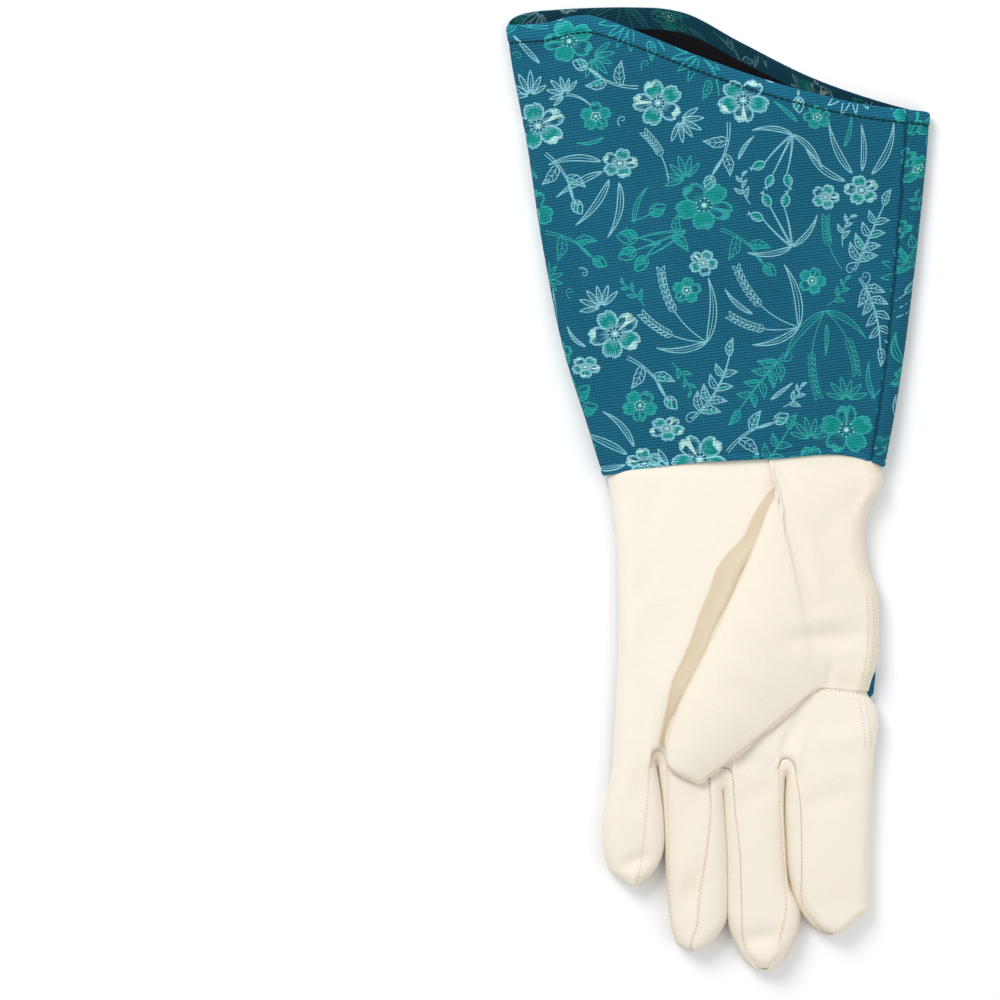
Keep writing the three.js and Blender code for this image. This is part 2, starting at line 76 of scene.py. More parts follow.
def rows_at(table: np.ndarray, at: np.ndarray) -> np.ndarray:
    """Read a table at places along its first column, with a smooth curve through its rows.

    Args:
        table: rows of numbers; the first column rises.
        at: places in the first column.
    Returns:
        The other columns at each place.
    """
    table = np.asarray(table, float)
    key, cols = table[:, 0], table[:, 1:]
    step = np.diff(key)[:, None]
    slope = np.diff(cols, axis=0) / step
    tangent = np.vstack([slope[:1], np.zeros((len(cols) - 2, cols.shape[1])), slope[-1:]])
    if len(cols) > 2:
        near, far = slope[:-1], slope[1:]
        wide = step[:-1] + step[1:]
        tangent[1:-1] = (near * step[1:] + far * step[:-1]) / wide
    at = np.clip(np.asarray(at, float), key[0], key[-1])
    i = np.clip(np.searchsorted(key, at, side="right") - 1, 0, len(key) - 2)
    t = ((at - key[i]) / (key[i + 1] - key[i]))[:, None]
    h = (key[i + 1] - key[i])[:, None]
    t2, t3 = t * t, t * t * t
    return ((2 * t3 - 3 * t2 + 1) * cols[i] + (t3 - 2 * t2 + t) * h * tangent[i]
            + (3 * t2 - 2 * t3) * cols[i + 1] + (t3 - t2) * h * tangent[i + 1])


def ease(x: np.ndarray) -> np.ndarray:
    """Go smoothly from 0 to 1 as x does."""
    x = np.clip(x, 0, 1)
    return x * x * (3 - 2 * x)


def bow(share: np.ndarray) -> np.ndarray:
    """Height of a quarter circle, 0 at its edge and 1 from share 1 on."""
    return np.sqrt(np.clip(1 - (1 - np.clip(share, 0, 1)) ** 2, 0, 1))


def peak(away: np.ndarray, wide: float) -> np.ndarray:
    """A rounded peak, 1 high at 0 and a third of that at its half width."""
    return np.exp(-(away / wide) ** 2)


def dome(across: np.ndarray, power: float = 1.3) -> np.ndarray:
    """A dome from -1 to 1, 1 high at 0."""
    return np.clip(1 - across ** 2, 0, 1) ** power


def away_from(points: np.ndarray, line: np.ndarray) -> np.ndarray:
    """Distance, seen from above, of each point from a line of points."""
    flat = points.reshape(-1, points.shape[-1])[:, :2]
    best = np.full(len(flat), 1e9)
    for a, b in zip(line[:-1, :2], line[1:, :2]):
        run = b - a
        t = np.clip(((flat - a) @ run) / max(run @ run, 1e-9), 0, 1)
        best = np.minimum(best, np.linalg.norm(flat - a - t[:, None] * run, axis=1))
    return best.reshape(points.shape[:-1])


@dataclass
class Patch:
    """A grid of points in mm.

    keep: the cells that are kept. cloth: places on the flat cloth. The third: painted shade where above zero, painted
    highlight where below. strip: how far inside the turned-up strip beside the thumb, which the leather paints in
    shade.
    """

    points: np.ndarray
    keep: np.ndarray | None = None
    cloth: np.ndarray | None = None
    tone: np.ndarray | None = None
    strip: np.ndarray | None = None


def mesh_of(name: str, patches: list[Patch], away: tuple[float, float, float] | None = None,
            way: tuple[float, float, float] = (0, 0, 1)) -> bpy.types.Object:
    """Join patches to one mesh.

    Args:
        name: the piece's name.
        patches: grids that share their border points.
        away: a place in mm that the outer side looks away from.
        way: where away is left out, the way that most of the outer side looks.
    Returns:
        The object, at the origin.
    """
    verts, faces, cloth, tone, strip, start = [], [], [], [], [], 0
    for patch in patches:
        rows, cols = patch.points.shape[:2]
        verts.append(((patch.points + WRIST_PLACE) * MM).reshape(-1, 3))
        flat = patch.cloth if patch.cloth is not None else patch.points[..., :2]
        cloth.append((flat * MM).reshape(-1, 2))
        tone.append(patch.tone.reshape(-1) if patch.tone is not None else np.zeros(rows * cols))
        strip.append(patch.strip.reshape(-1) if patch.strip is not None else np.zeros(rows * cols))
        ids = start + np.arange(rows * cols).reshape(rows, cols)
        start += rows * cols
        quads = np.stack([ids[:-1, :-1], ids[:-1, 1:], ids[1:, 1:], ids[1:, :-1]], -1)
        keep = np.ones(quads.shape[:2], bool) if patch.keep is None else patch.keep
        faces.append(quads[keep])
    points, quads = np.concatenate(verts), np.concatenate(faces)
    a, b, c, d = (points[quads[:, i]] for i in range(4))
    normal = np.cross(c - a, d - b)
    look = np.asarray(way, float) if away is None else (a + c) / 2 - (np.asarray(away) + WRIST_PLACE) * MM
    if (normal * look).sum() < 0:
        quads = quads[:, ::-1]
    mesh = bpy.data.meshes.new(name)
    mesh.from_pydata(points.tolist(), [], quads.tolist())
    flat = np.concatenate(cloth)[quads.reshape(-1)]
    fill(mesh.uv_layers.new(name="cloth").data, "uv", flat)
    for attribute, values in (("tone", tone), ("strip", strip)):
        fill(mesh.attributes.new(attribute, "FLOAT", "POINT").data, "value", np.concatenate(values))
    bm = bmesh.new()
    bm.from_mesh(mesh)
    bmesh.ops.remove_doubles(bm, verts=bm.verts, dist=MERGED)
    bmesh.ops.dissolve_degenerate(bm, edges=bm.edges, dist=MERGED)
    bmesh.ops.delete(bm, geom=[v for v in bm.verts if not v.link_faces], context="VERTS")
    bm.to_mesh(mesh)
    bm.free()
    return placed(name, smooth(mesh))


def fill(data: bpy.types.bpy_prop_collection, kind: str, values: np.ndarray) -> None:
    """Put values into a mesh's data."""
    data.foreach_set(kind, np.asarray(values, np.float32).ravel())


def smooth(mesh: bpy.types.Mesh) -> bpy.types.Mesh:
    """Shade a mesh smoothly."""
    mesh.polygons.foreach_set("use_smooth", np.ones(len(mesh.polygons), bool))
    return mesh


def turn_by(obj: bpy.types.Object, place: np.ndarray, out: np.ndarray) -> None:
    """Turn a sheet's faces over where the one at a place in mm doesn't look outwards."""
    where = Vector(((place + WRIST_PLACE) * MM).tolist())
    face = min(obj.data.polygons, key=lambda p: (p.center - where).length_squared)
    if face.normal.dot(Vector(out.tolist())) < 0:
        obj.data.flip_normals()


def placed(name: str, mesh: bpy.types.Mesh) -> bpy.types.Object:
    """Put a mesh in the scene as an object at the origin."""
    obj = bpy.data.objects.new(name, mesh)
    bpy.context.scene.collection.objects.link(obj)
    return obj


def settle(obj: bpy.types.Object) -> bpy.types.Object:
    """Turn an object and its modifiers into a plain mesh."""
    bpy.context.view_layer.update()
    graph = bpy.context.evaluated_depsgraph_get()
    made = bpy.data.meshes.new_from_object(obj.evaluated_get(graph), preserve_all_data_layers=True, depsgraph=graph)
    obj.modifiers.clear()
    old, obj.data = obj.data, made
    bpy.data.meshes.remove(old)
    made.name = obj.name
    return obj


def cut_of(obj: bpy.types.Object) -> dict[str, object]:
    """The size that a sheet was cut to, from its places on the flat cloth.

    Args:
        obj: a sheet that has no wall yet.
    """
    places = np.empty(2 * len(obj.data.loops), np.float32)
    obj.data.uv_layers["cloth"].data.foreach_get("uv", places)
    wide, long = np.ptp(places.reshape(-1, 2), axis=0)
    return {"flat": (float(wide), float(long)), "area": sum(face.area for face in obj.data.polygons)}


def walled(obj: bpy.types.Object, thickness: float) -> bpy.types.Object:
    """Give a sheet a wall of some thickness in mm on its inner side."""
    wall = obj.modifiers.new("wall", "SOLIDIFY")
    wall.thickness = thickness * MM
    wall.offset = -1
    wall.use_even_offset = False
    settle(obj)
    obj.data.set_sharp_from_angle(angle=math.radians(SHARP))
    return obj


def dressed(obj: bpy.types.Object, nodes: tuple[str, ...], material: bpy.types.Material) -> None:
    """Give a piece its material, its body and the frame's nodes that it stands for."""
    obj.data.materials.clear()
    obj.data.materials.append(material)
    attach(obj, "root")
    if nodes:
        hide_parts(*nodes)
    log.info("%s: %d faces", obj.name, len(obj.data.polygons))


def mm(*places: tuple[float, float], height: float = DRAWING_HEIGHT) -> np.ndarray:
    """Turn places on the drawing into mm from the middle of the wrist.

    Args:
        places: across and down the drawing.
        height: how high they are, in mm. The drawing shows higher places further from its middle.
    Returns:
        x and y of each place.
    """
    at = DRAWING_MIDDLE + (np.asarray(places, float) - DRAWING_MIDDLE) * (1 - (height - DRAWING_HEIGHT) / EYE_ABOVE)
    return np.column_stack([(at[:, 0] - WRIST_ON_DRAWING[0]) * STEP, (WRIST_ON_DRAWING[1] - at[:, 1]) * STEP])


def smooth_line(points: np.ndarray, count: int) -> np.ndarray:
    """A smooth line of evenly spaced points through the given ones."""
    points = np.asarray(points, float)
    run = np.concatenate([[0], np.cumsum(np.linalg.norm(np.diff(points, axis=0), axis=1))])
    fine = rows_at(np.column_stack([run, points]), np.linspace(0, run[-1], 20 * len(points)))
    run = np.concatenate([[0], np.cumsum(np.linalg.norm(np.diff(fine, axis=0), axis=1))])
    at = np.linspace(0, run[-1], count)
    return np.column_stack([np.interp(at, run, fine[:, i]) for i in range(points.shape[1])])


# Sides of the hand seen from above: y and x, from the finger crotches to inside the cuff
LEFT_SIDE = [(-131.6, -57.9), (-112.2, -56.8), (-93.3, -55.9), (-73.5, -55.2), (-54.6, -55.2),
             (-35.2, -55.9), (-16.3, -57.9), (-4.0, -60.0), (10.0, -60.2)]
RIGHT_SIDE = [(-131.6, 57.2), (-121.9, 58.5), (-110.4, 59.6), (-105.6, 58.6), (-102.3, 56.4), (-100.2, 54.9),
              (-97.0, 55.3), (-93.0, 56.4), (-88.9, 57.9), (-83.2, 59.2), (-68.6, 59.8), (-59.4, 59.8), (-53.7, 59.0),
              (-45.8, 55.7), (-35.2, 53.7), (-26.0, 53.7), (-16.3, 56.2), (-9.7, 60.3),
              (-4.8, 61.6), (0.0, 60.3), (10.0, 59.8)]
# How far the back's cloth stands out past the leather at the right side
BACK_BULGE = [(-103.0, 0.0), (-101.8, 0.5), (-100.2, 2.4), (-97.0, 2.4), (-93.0, 1.8), (-89.5, 0.7), (-86.5, 0.0)]


def side_at(table: list[tuple[float, float]], y: np.ndarray) -> np.ndarray:
    """Read a table of two columns at many places."""
    return rows_at(table, y.reshape(-1))[:, 0].reshape(y.shape)


class Side(Enum):
    """How a finger's front ends at one side."""

    SEAM = "seam"
    WRAP = "wrap"


@dataclass(frozen=True)
class Finger:
    """One finger's drawing.

    rows: from the crotch to the tip, the share of the way and then x and y of the left outline, the left seam,
    the right seam and the right outline. inner: columns between the seams.
    """

    name: str
    left: Side
    right: Side
    rows: tuple[tuple[float, ...], ...]

    @property
    def crotch(self) -> np.ndarray:
        """Left outline, left seam, right seam and right outline at the crotch."""
        return np.array(self.rows[0][1:]).reshape(4, 2)


def finger_rows(*rows: tuple) -> tuple[tuple[float, ...], ...]:
    """Turn rows of drawing places into mm: outlines lie low, and seams high."""
    made = []
    for way, *places in rows:
        low, high = mm(*places), mm(*places, height=SEAM_HEIGHT)
        made.append((way, *low[0], *(high[1] if way < 1 and places[1] != places[0] else low[1]),
                     *(high[2] if way < 1 and places[2] != places[3] else low[2]), *low[3]))
    return tuple(made)


FINGERS = (
    Finger("little", Side.WRAP, Side.SEAM, finger_rows(
        (0, (612.5, 767), (612.5, 767), (650, 768), (657.5, 767)),
        (.2, (607, 795), (607, 795), (648, 795), (662, 795)),
        (.4, (602.5, 823), (602.5, 823), (645.5, 822), (665, 824)),
        (.6, (602.5, 845), (602.5, 845), (643, 848), (664.2, 850)),
        (.75, (605.5, 861), (605.5, 861), (641, 864), (658.5, 866)),
        (.88, (611.5, 873.5), (611.5, 873.5), (638.5, 875), (650.5, 877)),
        (.96, (620.5, 882), (620.5, 882), (637, 883.5), (643.5, 883.7)),
        (1, (634, 886.6), (634, 886.6), (634, 886.6), (634, 886.6)))),
    Finger("ring", Side.SEAM, Side.SEAM, finger_rows(
        (0, (657.8, 767), (667, 767), (710, 779), (722.5, 794)),
        (.2, (662.4, 801), (668, 800), (711, 808), (724, 815)),
        (.4, (664.4, 837), (668.5, 837), (708.5, 841), (726, 846)),
        (.6, (666, 873), (669, 872.5), (703.5, 874), (727, 876)),
        (.75, (668, 902), (670.5, 902), (699.5, 903), (727, 904)),
        (.87, (671.5, 929), (674, 928), (697, 926), (723.5, 924)),
        (.95, (675.5, 942.5), (679.5, 943), (692, 941), (712.5, 941.5)),
        (1, (692, 949.6), (692, 949.6), (692, 949.6), (692, 949.6)))),
    Finger("middle", Side.SEAM, Side.SEAM, finger_rows(
        (0, (724.5, 794), (732, 776), (778.5, 769), (783.5, 779)),
        (.2, (725.5, 818), (735.5, 814), (780.8, 808), (782.6, 812)),
        (.4, (727.5, 851), (739.5, 850), (783.4, 848), (785, 848)),
        (.6, (728.2, 888), (741, 888), (786, 886), (788.4, 886)),
        (.74, (728.5, 914), (741.8, 914), (786, 912), (799, 911)),
        (.86, (734.5, 938), (743, 938), (781, 935), (796.5, 933)),
        (.94, (743, 954), (748.5, 954), (775, 951), (786.5, 953)),
        (1, (765, 968.5), (765, 968.5), (765, 968.5), (765, 968.5)))),
    Finger("index", Side.SEAM, Side.WRAP, finger_rows(
        (0, (787, 779), (796, 774), (874, 767), (874, 767)),
        (.2, (784.9, 806), (799.8, 803), (872, 804), (872, 804)),
        (.4, (786.6, 838), (801.2, 837), (870.5, 842), (870.5, 842)),
        (.6, (789.3, 872), (801.6, 871), (870, 877), (870, 877)),
        (.76, (795.8, 900), (802, 899), (869.6, 902), (869.6, 902)),
        (.87, (804, 914), (806.5, 913), (867, 912), (867, 912)),
        (.94, (814, 926), (816, 925), (853, 925.5), (853, 925.5)),
        (1, (835, 934), (835, 934), (835, 934), (835, 934)))),
)
CROTCH_TOPS = mm((657.5, 751), (721.5, 768.5), (788, 759.5), height=SEAM_HEIGHT)
# The middle finger's front ends in a seam of its own short of the tip
TIP_SEAM = mm((743.5, 940), (747, 953), (756, 961), (766.5, 962.5), (775.5, 956.5), (780.5, 938), height=10.0)


@dataclass(frozen=True)
class Dent:
    """A soft hollow, or with a negative depth a swelling: its middle, its half sizes, its turn and its depth."""

    x: float
    y: float
    long: float
    wide: float
    turn: float
    depth: float

    def height(self, points: np.ndarray) -> np.ndarray:
        """Height that the dent adds at each point."""
        dx, dy = points[..., 0] - self.x, points[..., 1] - self.y
        c, s = math.cos(math.radians(self.turn)), math.sin(math.radians(self.turn))
        return -self.depth * np.exp(-((c * dx + s * dy) / self.long) ** 2 - ((c * dy - s * dx) / self.wide) ** 2)


def dent(x: float, y: float, long: float, wide: float, turn: float, depth: float) -> Dent:
    """A dent placed on the drawing."""
    return Dent(*mm((x, y), height=DENT_HEIGHT)[0], long, wide, turn, depth)


PALM_DENTS = (
    dent(637, 861, 7, 3.5, 25, 1.7), dent(691, 894, 8, 5, 75, 1.7), dent(760, 939, 9, 4.2, 8, 2.0),
    dent(840, 905, 10, 5, 0, 0.5), dent(826, 800, 14, 5, 20, 0.9), dent(789, 740, 13, 3.2, 66, 1.6),
    dent(650, 640, 16, 9, 80, 0.7), dent(700, 790, 9, 4, 75, 0.5), dent(757, 795, 10, 4, 30, 0.8),
    dent(640, 790, 9, 4, 85, 0.6), dent(625, 700, 18, 5, 88, 0.6), dent(820, 850, 12, 6, 85, -0.5),
    dent(756, 860, 13, 6, 88, -0.6), dent(690, 850, 13, 6, 88, -0.6), dent(640, 590, 14, 4, 60, 0.6),
    dent(845, 740, 13, 5, 10, -0.7), dent(740, 755, 12, 5, -30, 0.8), dent(655, 500, 14, 5, 80, 0.5),
)
WING_DENTS = (
    dent(820, 636, 15, 4.0, 6, 1.8), dent(838, 642, 7, 3.5, 0, 0.9), dent(829, 618, 13, 5, 5, -0.7),
    dent(829, 525, 11, 6, 50, 0.7), dent(800, 560, 15, 3.6, -66, 1.3), dent(812, 560, 14, 4, -66, -0.8),
    dent(786, 474, 8, 2.2, -52, 1.2),
    dent(850, 580, 12, 7, 80, -0.6), dent(770, 640, 14, 5, -55, -0.6), dent(830, 673, 6, 2.5, 85, 1.3),
    dent(735, 690, 14, 4, -48, 0.7), dent(800, 655, 9, 5, 80, -0.5), dent(858, 500, 8, 5, 75, 0.8),
    dent(845, 470, 10, 4, 10, 0.6),
)
# The thumb's cloth, line by line from the side to the tip: place; near end; far end; heights of both ends
# above the palm; crown; how round each end is
THUMB_LINES = np.array([
    (place, *mm(near, height=THUMB_HEIGHTS[0])[0], *mm(far, height=THUMB_HEIGHTS[1])[0], *rest)
    for place, near, far, *rest in (
        (0, (865, 452), (854, 692.6), 0.4, 0.9, 0.0, 0.2, 0.6),
        (1, (846, 451), (846, 692), 0.4, 0.9, 1.0, 0.2, 0.6),
        (2, (820, 450.5), (838, 691), 0.4, 1.0, 2.4, 0.2, 0.6),
        (3, (796, 451), (831, 690), 0.6, 1.1, 3.6, 0.3, 0.7),
        (4, (771.5, 457), (825, 689), 1.0, 1.2, 4.4, 0.8, 0.8),
        (5, (773, 472), (819, 690), 1.8, 1.4, 4.7, 1.4, 1.0),
        (6, (777.5, 489), (812, 694.0), 2.7, 1.7, 4.8, 1.8, 1.2),
        (7, (767, 512), (801, 703.2), 3.6, 2.0, 4.8, 2.0, 1.3),
        (8, (747.5, 561), (783, 718), 4.6, 2.3, 4.6, 2.1, 1.4),
        (9, (713, 635), (757, 740), 5.0, 2.4, 4.3, 2.1, 1.4),
        (10, (681, 700), (733, 759.5), 5.0, 2.4, 3.7, 2.1, 1.4),
        (11, (668.5, 733), (721, 768.5), 4.7, 2.4, 3.2, 2.1, 1.4),
        (12, (665.5, 752), (713, 774), 4.3, 2.4, 2.5, 2.0, 1.4),
        (13, (666.5, 764), (707, 778.5), 3.8, 2.4, 1.8, 1.9, 1.4),
        (14, (673.5, 772), (703, 781.5), 3.2, 2.4, 1.0, 1.8, 1.4),
        (15, (684, 779), (697, 783.5), 2.8, 2.4, 0.4, 1.7, 1.4))])
# The crease in the palm beside the folded thumb, the spots at the crotches' holes that are painted in shade, and the
# seam along the wing's lower end
CREASE = smooth_line(mm((779, 484), (770, 490), (752.5, 514), (740, 539), (727, 552), (715.5, 568), (708, 589),
                        (699, 611), (693, 630), (683.7, 655), (672, 680), (665, 711), (658.5, 742), height=15.0), 60)
CROTCH_SHADE_SPOTS = mm((656.5, 761), (722.5, 789), (786.5, 771))
WING_SEAM = mm((818, 692.5), (830, 690.5), (843, 692), (856, 693.5), (868, 695.5), (874, 696.5), height=14.0)
# Rows of pricked stitches along the hand's right side, and how far apart the two of each pair are
PRICK_ROWS = (mm((872, 596), (873.5, 620), (872.5, 650), (869, 675), (866.5, 690), height=12.0),
              mm((864.5, 700), (868.5, 722), (870.5, 745), height=11.0))
PRICK_APART = 2.7


def above_wing_seam(points: np.ndarray) -> np.ndarray:
    """How far each point is above the seam along the wing's lower end, seen from above."""
    return points[..., 1] - np.interp(points[..., 0], WING_SEAM[:, 0], WING_SEAM[:, 1])


@dataclass
class Section:
    """Cross sections of a flattened tube that lies on its back, one for each row.

    knots: corners of each section's line seen from above. top, middle: heights. bend: how far in its sides
    are round.
    """

    knots: np.ndarray
    top: np.ndarray
    middle: np.ndarray
    bend: np.ndarray
    crown: float = 1.0
    heel: float = 4.0

    @property
    def marks(self) -> np.ndarray:
        """How far each corner is along its section's line."""
        steps = np.linalg.norm(np.diff(self.knots, axis=1), axis=2)
        return np.concatenate([np.zeros((len(steps), 1)), np.cumsum(steps, axis=1)], axis=1)

    @property
    def width(self) -> np.ndarray:
        """Length of each section's line."""
        return self.marks[:, -1]

    def at(self, across: np.ndarray, upper: np.ndarray) -> np.ndarray:
        """Points on the tube.

        Args:
            across: how far from the left end, for each row and column.
            upper: for each column, on the upper side or on the lower.
        Returns:
            Points by row and column.
        """
        width = np.maximum(self.width, 1e-6)[:, None]
        share = np.clip(across / width, 0, 1)
        flat = np.array([[np.interp(row, mark, line[:, i]) for i in range(2)]
                         for row, mark, line in zip(across, self.marks, self.knots)]).transpose(0, 2, 1)
        inside = np.clip(np.minimum(across, width - across), 0, None)
        middle, bend = self.middle[:, None], self.bend[:, None]
        crown = self.crown * dome(2 * share - 1) * ease(width / 20)
        high = middle + (self.top[:, None] - middle) * bow(inside / bend) + crown
        low = middle * (1 - bow(inside / np.minimum(self.heel, bend)))
        z = np.where(np.asarray(upper)[None, :], high, low)
        return np.concatenate([flat, np.maximum(z, FLOOR_GAP)[..., None]], -1)


@dataclass
class Hand:
    """The gauntlet's hand: palm panel with the finger fronts, thumb, fourchettes, and the whole back."""

    top: float = 13.2
    finger_top: float = 12.2
    tip_top: float = 4.4
    middle: float = 6.2
    tip_middle: float = 3.8
    crown: float = 1.2
    heel: float = 4.0
    tip_turn: float = 0.72
    bend: float = 7.0
    seam_in: float = 0.8
    rows: int = 150
    tip_rows: int = 60
    from_y: float = 9.0
    mean_y: float = -134.0
    knuckle: float = 9.0
    leather: float = 1.1
    strip_leather: float = 1.1 * 0.8
    cloth: float = 0.9
    inner: tuple[float, ...] = (0, .012, .03, .055, .09, .13, .17, .21, .25, .29, .33, .37, .41, .45, .49, .53, .57,
                                .61, .65, .69, .73, .77, .81, .85, .89, .92, .945, .97, .988, 1)
    shade_from: tuple[float, float, float] = (9.8, 9.8, 11.0)
    sections: dict = field(default_factory=dict)
    leathers: list = field(default_factory=list)

    def __post_init__(self) -> None:
        """Make the fingers' sections and the seams' lines."""
        self.ways = 1 - (1 - np.linspace(0, 1, self.tip_rows)) ** 1.7
        side = np.linspace(0, math.pi / 2, 8)[:-1]
        self.side = np.concatenate([[self.seam_in, 0.4, 0.12], self.bend * (1 - np.cos(side))])
        self.side_up = np.concatenate([[False] * 3, [True] * len(side)])
        for finger in FINGERS:
            rows = self.outline_rows(finger)
            width = np.linalg.norm(np.diff(rows, axis=1), axis=2).sum(1)
            fade = np.clip(width / 21.0, 0, 1) ** 0.9
            top = self.tip_top + (self.finger_top - self.tip_top) * bow(fade)
            middle = self.tip_middle + (self.middle - self.tip_middle) * fade
            bend = np.maximum(np.minimum(self.bend, 0.5 * width), 0.02)
            self.sections[finger.name] = Section(rows, top, middle, bend)
        self.seams = []
        for finger in FINGERS:
            rows = self.sections[finger.name].knots
            if finger.name == "middle":
                rows = rows[self.ways < 0.87]
            if finger.left is Side.SEAM:
                self.seams.append(rows[:, 1])
            if finger.right is Side.SEAM:
                self.seams.append(rows[:, 2])
        self.seams += [self.arc(i, 24)[:, :2] for i in range(3)]
        self.seams += [smooth_line(TIP_SEAM, 24), WING_SEAM]

    def outline_rows(self, finger: Finger) -> np.ndarray:
        """Both outlines and both seams of a finger, from its crotch to its rounded tip."""
        table = np.array(finger.rows)
        start, tip = table[-2, 0], table[-1, 1:3]
        body = rows_at(table[:-1], np.minimum(self.ways, start)).reshape(-1, 4, 2)
        first = self.tip_turn
        turn = first + (math.pi / 2 - first) * np.clip((self.ways - start) / (1 - start), 0, 1)
        last = table[-2, 1:].reshape(4, 2)
        foot = (last[0] + last[3]) / 2
        reach = (tip - foot) / (1 - math.sin(first))
        along = (tip - reach)[None, None] + reach * np.sin(turn)[:, None, None]
        cap = along + (last - foot)[None] * ((np.cos(turn) / math.cos(first)) ** 0.8)[:, None, None]
        return np.where((self.ways > start)[:, None, None], cap, body)

    def finger_across(self, finger: Finger) -> tuple[np.ndarray, np.ndarray]:
        """Columns of a finger's front, for each row how far from its left outline, and which are on top."""
        section = self.sections[finger.name]
        width = section.width
        scale = (section.bend / self.bend)[:, None]
        first, last = section.marks[:, 1], section.marks[:, 2]
        parts, up = [], []
        if finger.left is Side.WRAP:
            first = section.bend
            parts.append(self.side[None, :] * scale)
            up.append(self.side_up)
        if finger.right is Side.WRAP:
            last = width - section.bend
        inner = np.array(self.inner)
        parts.append(first[:, None] + (last - first)[:, None] * inner)
        up.append(np.ones(len(inner), bool))
        if finger.right is Side.WRAP:
            parts.append(width[:, None] - self.side[None, ::-1] * scale)
            up.append(self.side_up[::-1])
        return np.concatenate(parts, 1), np.concatenate(up)

    def front(self, finger: Finger) -> np.ndarray:
        """Points of a finger's front."""
        across, up = self.finger_across(finger)
        return self.sections[finger.name].at(across, up)

    def seam_points(self, index: int) -> tuple[np.ndarray, np.ndarray]:
        """The right seam of a finger and the left seam of the next one, at their crotch."""
        return self.front(FINGERS[index])[0, -1], self.front(FINGERS[index + 1])[0, 0]

    def arc(self, index: int, count: int) -> np.ndarray:
        """The palm's edge round the crotch between a finger and the next one."""
        a, b = self.seam_points(index)
        g = np.linspace(0, 1, count)[:, None]
        foot = (a[:2] + b[:2]) / 2
        flat = foot + (a[:2] - foot) * np.cos(math.pi * g) + (CROTCH_TOPS[index] - foot) * np.sin(math.pi * g)
        z = a[2] * (1 - g) + b[2] * g - 1.0 * 4 * g * (1 - g)
        return np.hstack([flat, z])

    def wrist_press(self, y: np.ndarray) -> np.ndarray:
        """How far the hand is pressed down where it goes into the cuff."""
        return 1.1 * ease((y + 5) / 10)

    @property
    def crotches(self) -> tuple[float, float]:
        """The palm's left side at the crotches, and its width there."""
        left = FINGERS[0].crotch[0, 0]
        return left, FINGERS[-1].crotch[3, 0] - left

    def down(self, v: np.ndarray, last: np.ndarray) -> np.ndarray:
        """How far down the hand each row and column is, from inside the cuff to the last row's points."""
        return self.from_y + (self.mean_y - self.from_y) * v + (last[None, :, 1] - self.mean_y) * v ** 6

    def palm_at(self, key: np.ndarray, up: np.ndarray, y: np.ndarray, crotch_width: float) -> np.ndarray:
        """Points of the palm before its relief.

        Args:
            key: for each column, how far from the left side it is at the crotches.
            up: which columns are on top.
            y: for each row and column.
            crotch_width: the palm's width at the crotches.
        Returns:
            Points by row and column.
        """
        xl = side_at(LEFT_SIDE, y)
        xr = side_at(RIGHT_SIDE, y) - 1.5 * ease((y + 101) / 5)
        width = xr - xl
        far = crotch_width - key
        inner = self.bend + (key - self.bend) * (width - 2 * self.bend) / (crotch_width - 2 * self.bend)
        across = np.where(key < self.bend, key, np.where(far < self.bend, width - far, inner))
        inside = np.clip(np.minimum(across, width - across), 0, None)
        top = self.top - self.wrist_press(y)
        crown = self.crown * dome(2 * (across / width) - 1)
        high = self.middle + (top - self.middle) * bow(inside / self.bend) + crown
        low = self.middle * (1 - bow(inside / self.heel))
        return np.stack([xl + across, y, np.maximum(np.where(up[None, :], high, low), FLOOR_GAP)], -1)

    def relief(self, points: np.ndarray, dents: tuple[Dent, ...] = PALM_DENTS) -> np.ndarray:
        """Press seams, dents and soft waves into the upper side."""
        weight = ease((points[..., 2] - 4.5) / 4)
        x, y = points[..., 0], points[..., 1]
        add = sum(one.height(points) for one in dents)
        add = add + 0.22 * np.sin(x / 9 + 1.3 * np.sin(y / 17)) * np.sin(y / 12 + 0.8)
        add = add + 0.12 * np.sin(x / 4.3 + y / 6.1)
        for line in self.seams:
            near = (np.abs(x - line[:, 0].mean()) < np.ptp(line[:, 0]) / 2 + 8) & (
                np.abs(y - line[:, 1].mean()) < np.ptp(line[:, 1]) / 2 + 8)
            if near.any():
                d = away_from(points[near], line)
                add[near] += -0.13 * peak(d, 0.5) + 0.09 * peak(d - 1.6, 0.9)
        out = points.copy()
        out[..., 2] = np.maximum(points[..., 2] + add * weight, FLOOR_GAP)
        return out

    def tone(self, points: np.ndarray) -> np.ndarray:
        """Painted shade on the leather, in tan: most beside seams, in creases and at the crotches' holes, and lower
        down.
        """
        tone = np.zeros(points.shape[:-1])
        for line in self.seams:
            # Painted shade in the seams' grooves
            tone = np.maximum(tone, 0.10 * peak(away_from(points, line), 0.5))
        # Painted shade at the holes of the crotches
        for knot in CROTCH_SHADE_SPOTS:
            tone = np.maximum(tone, 0.85 * peak(np.linalg.norm(points[..., :2] - knot, axis=-1), 1.3))
        # More painted shade the lower the leather lies
        return np.clip(tone + 0.3 * ease((7 - points[..., 2]) / 6), 0, 1)

    def cut_out(self, obj: bpy.types.Object, leather: bpy.types.Material, *nodes: str,
                thick: float | None = None) -> bpy.types.Object:
        """Make a sheet a leather piece that stands for the given nodes."""
        walled(obj, thick or self.leather)
        dressed(obj, nodes, leather)
        return obj

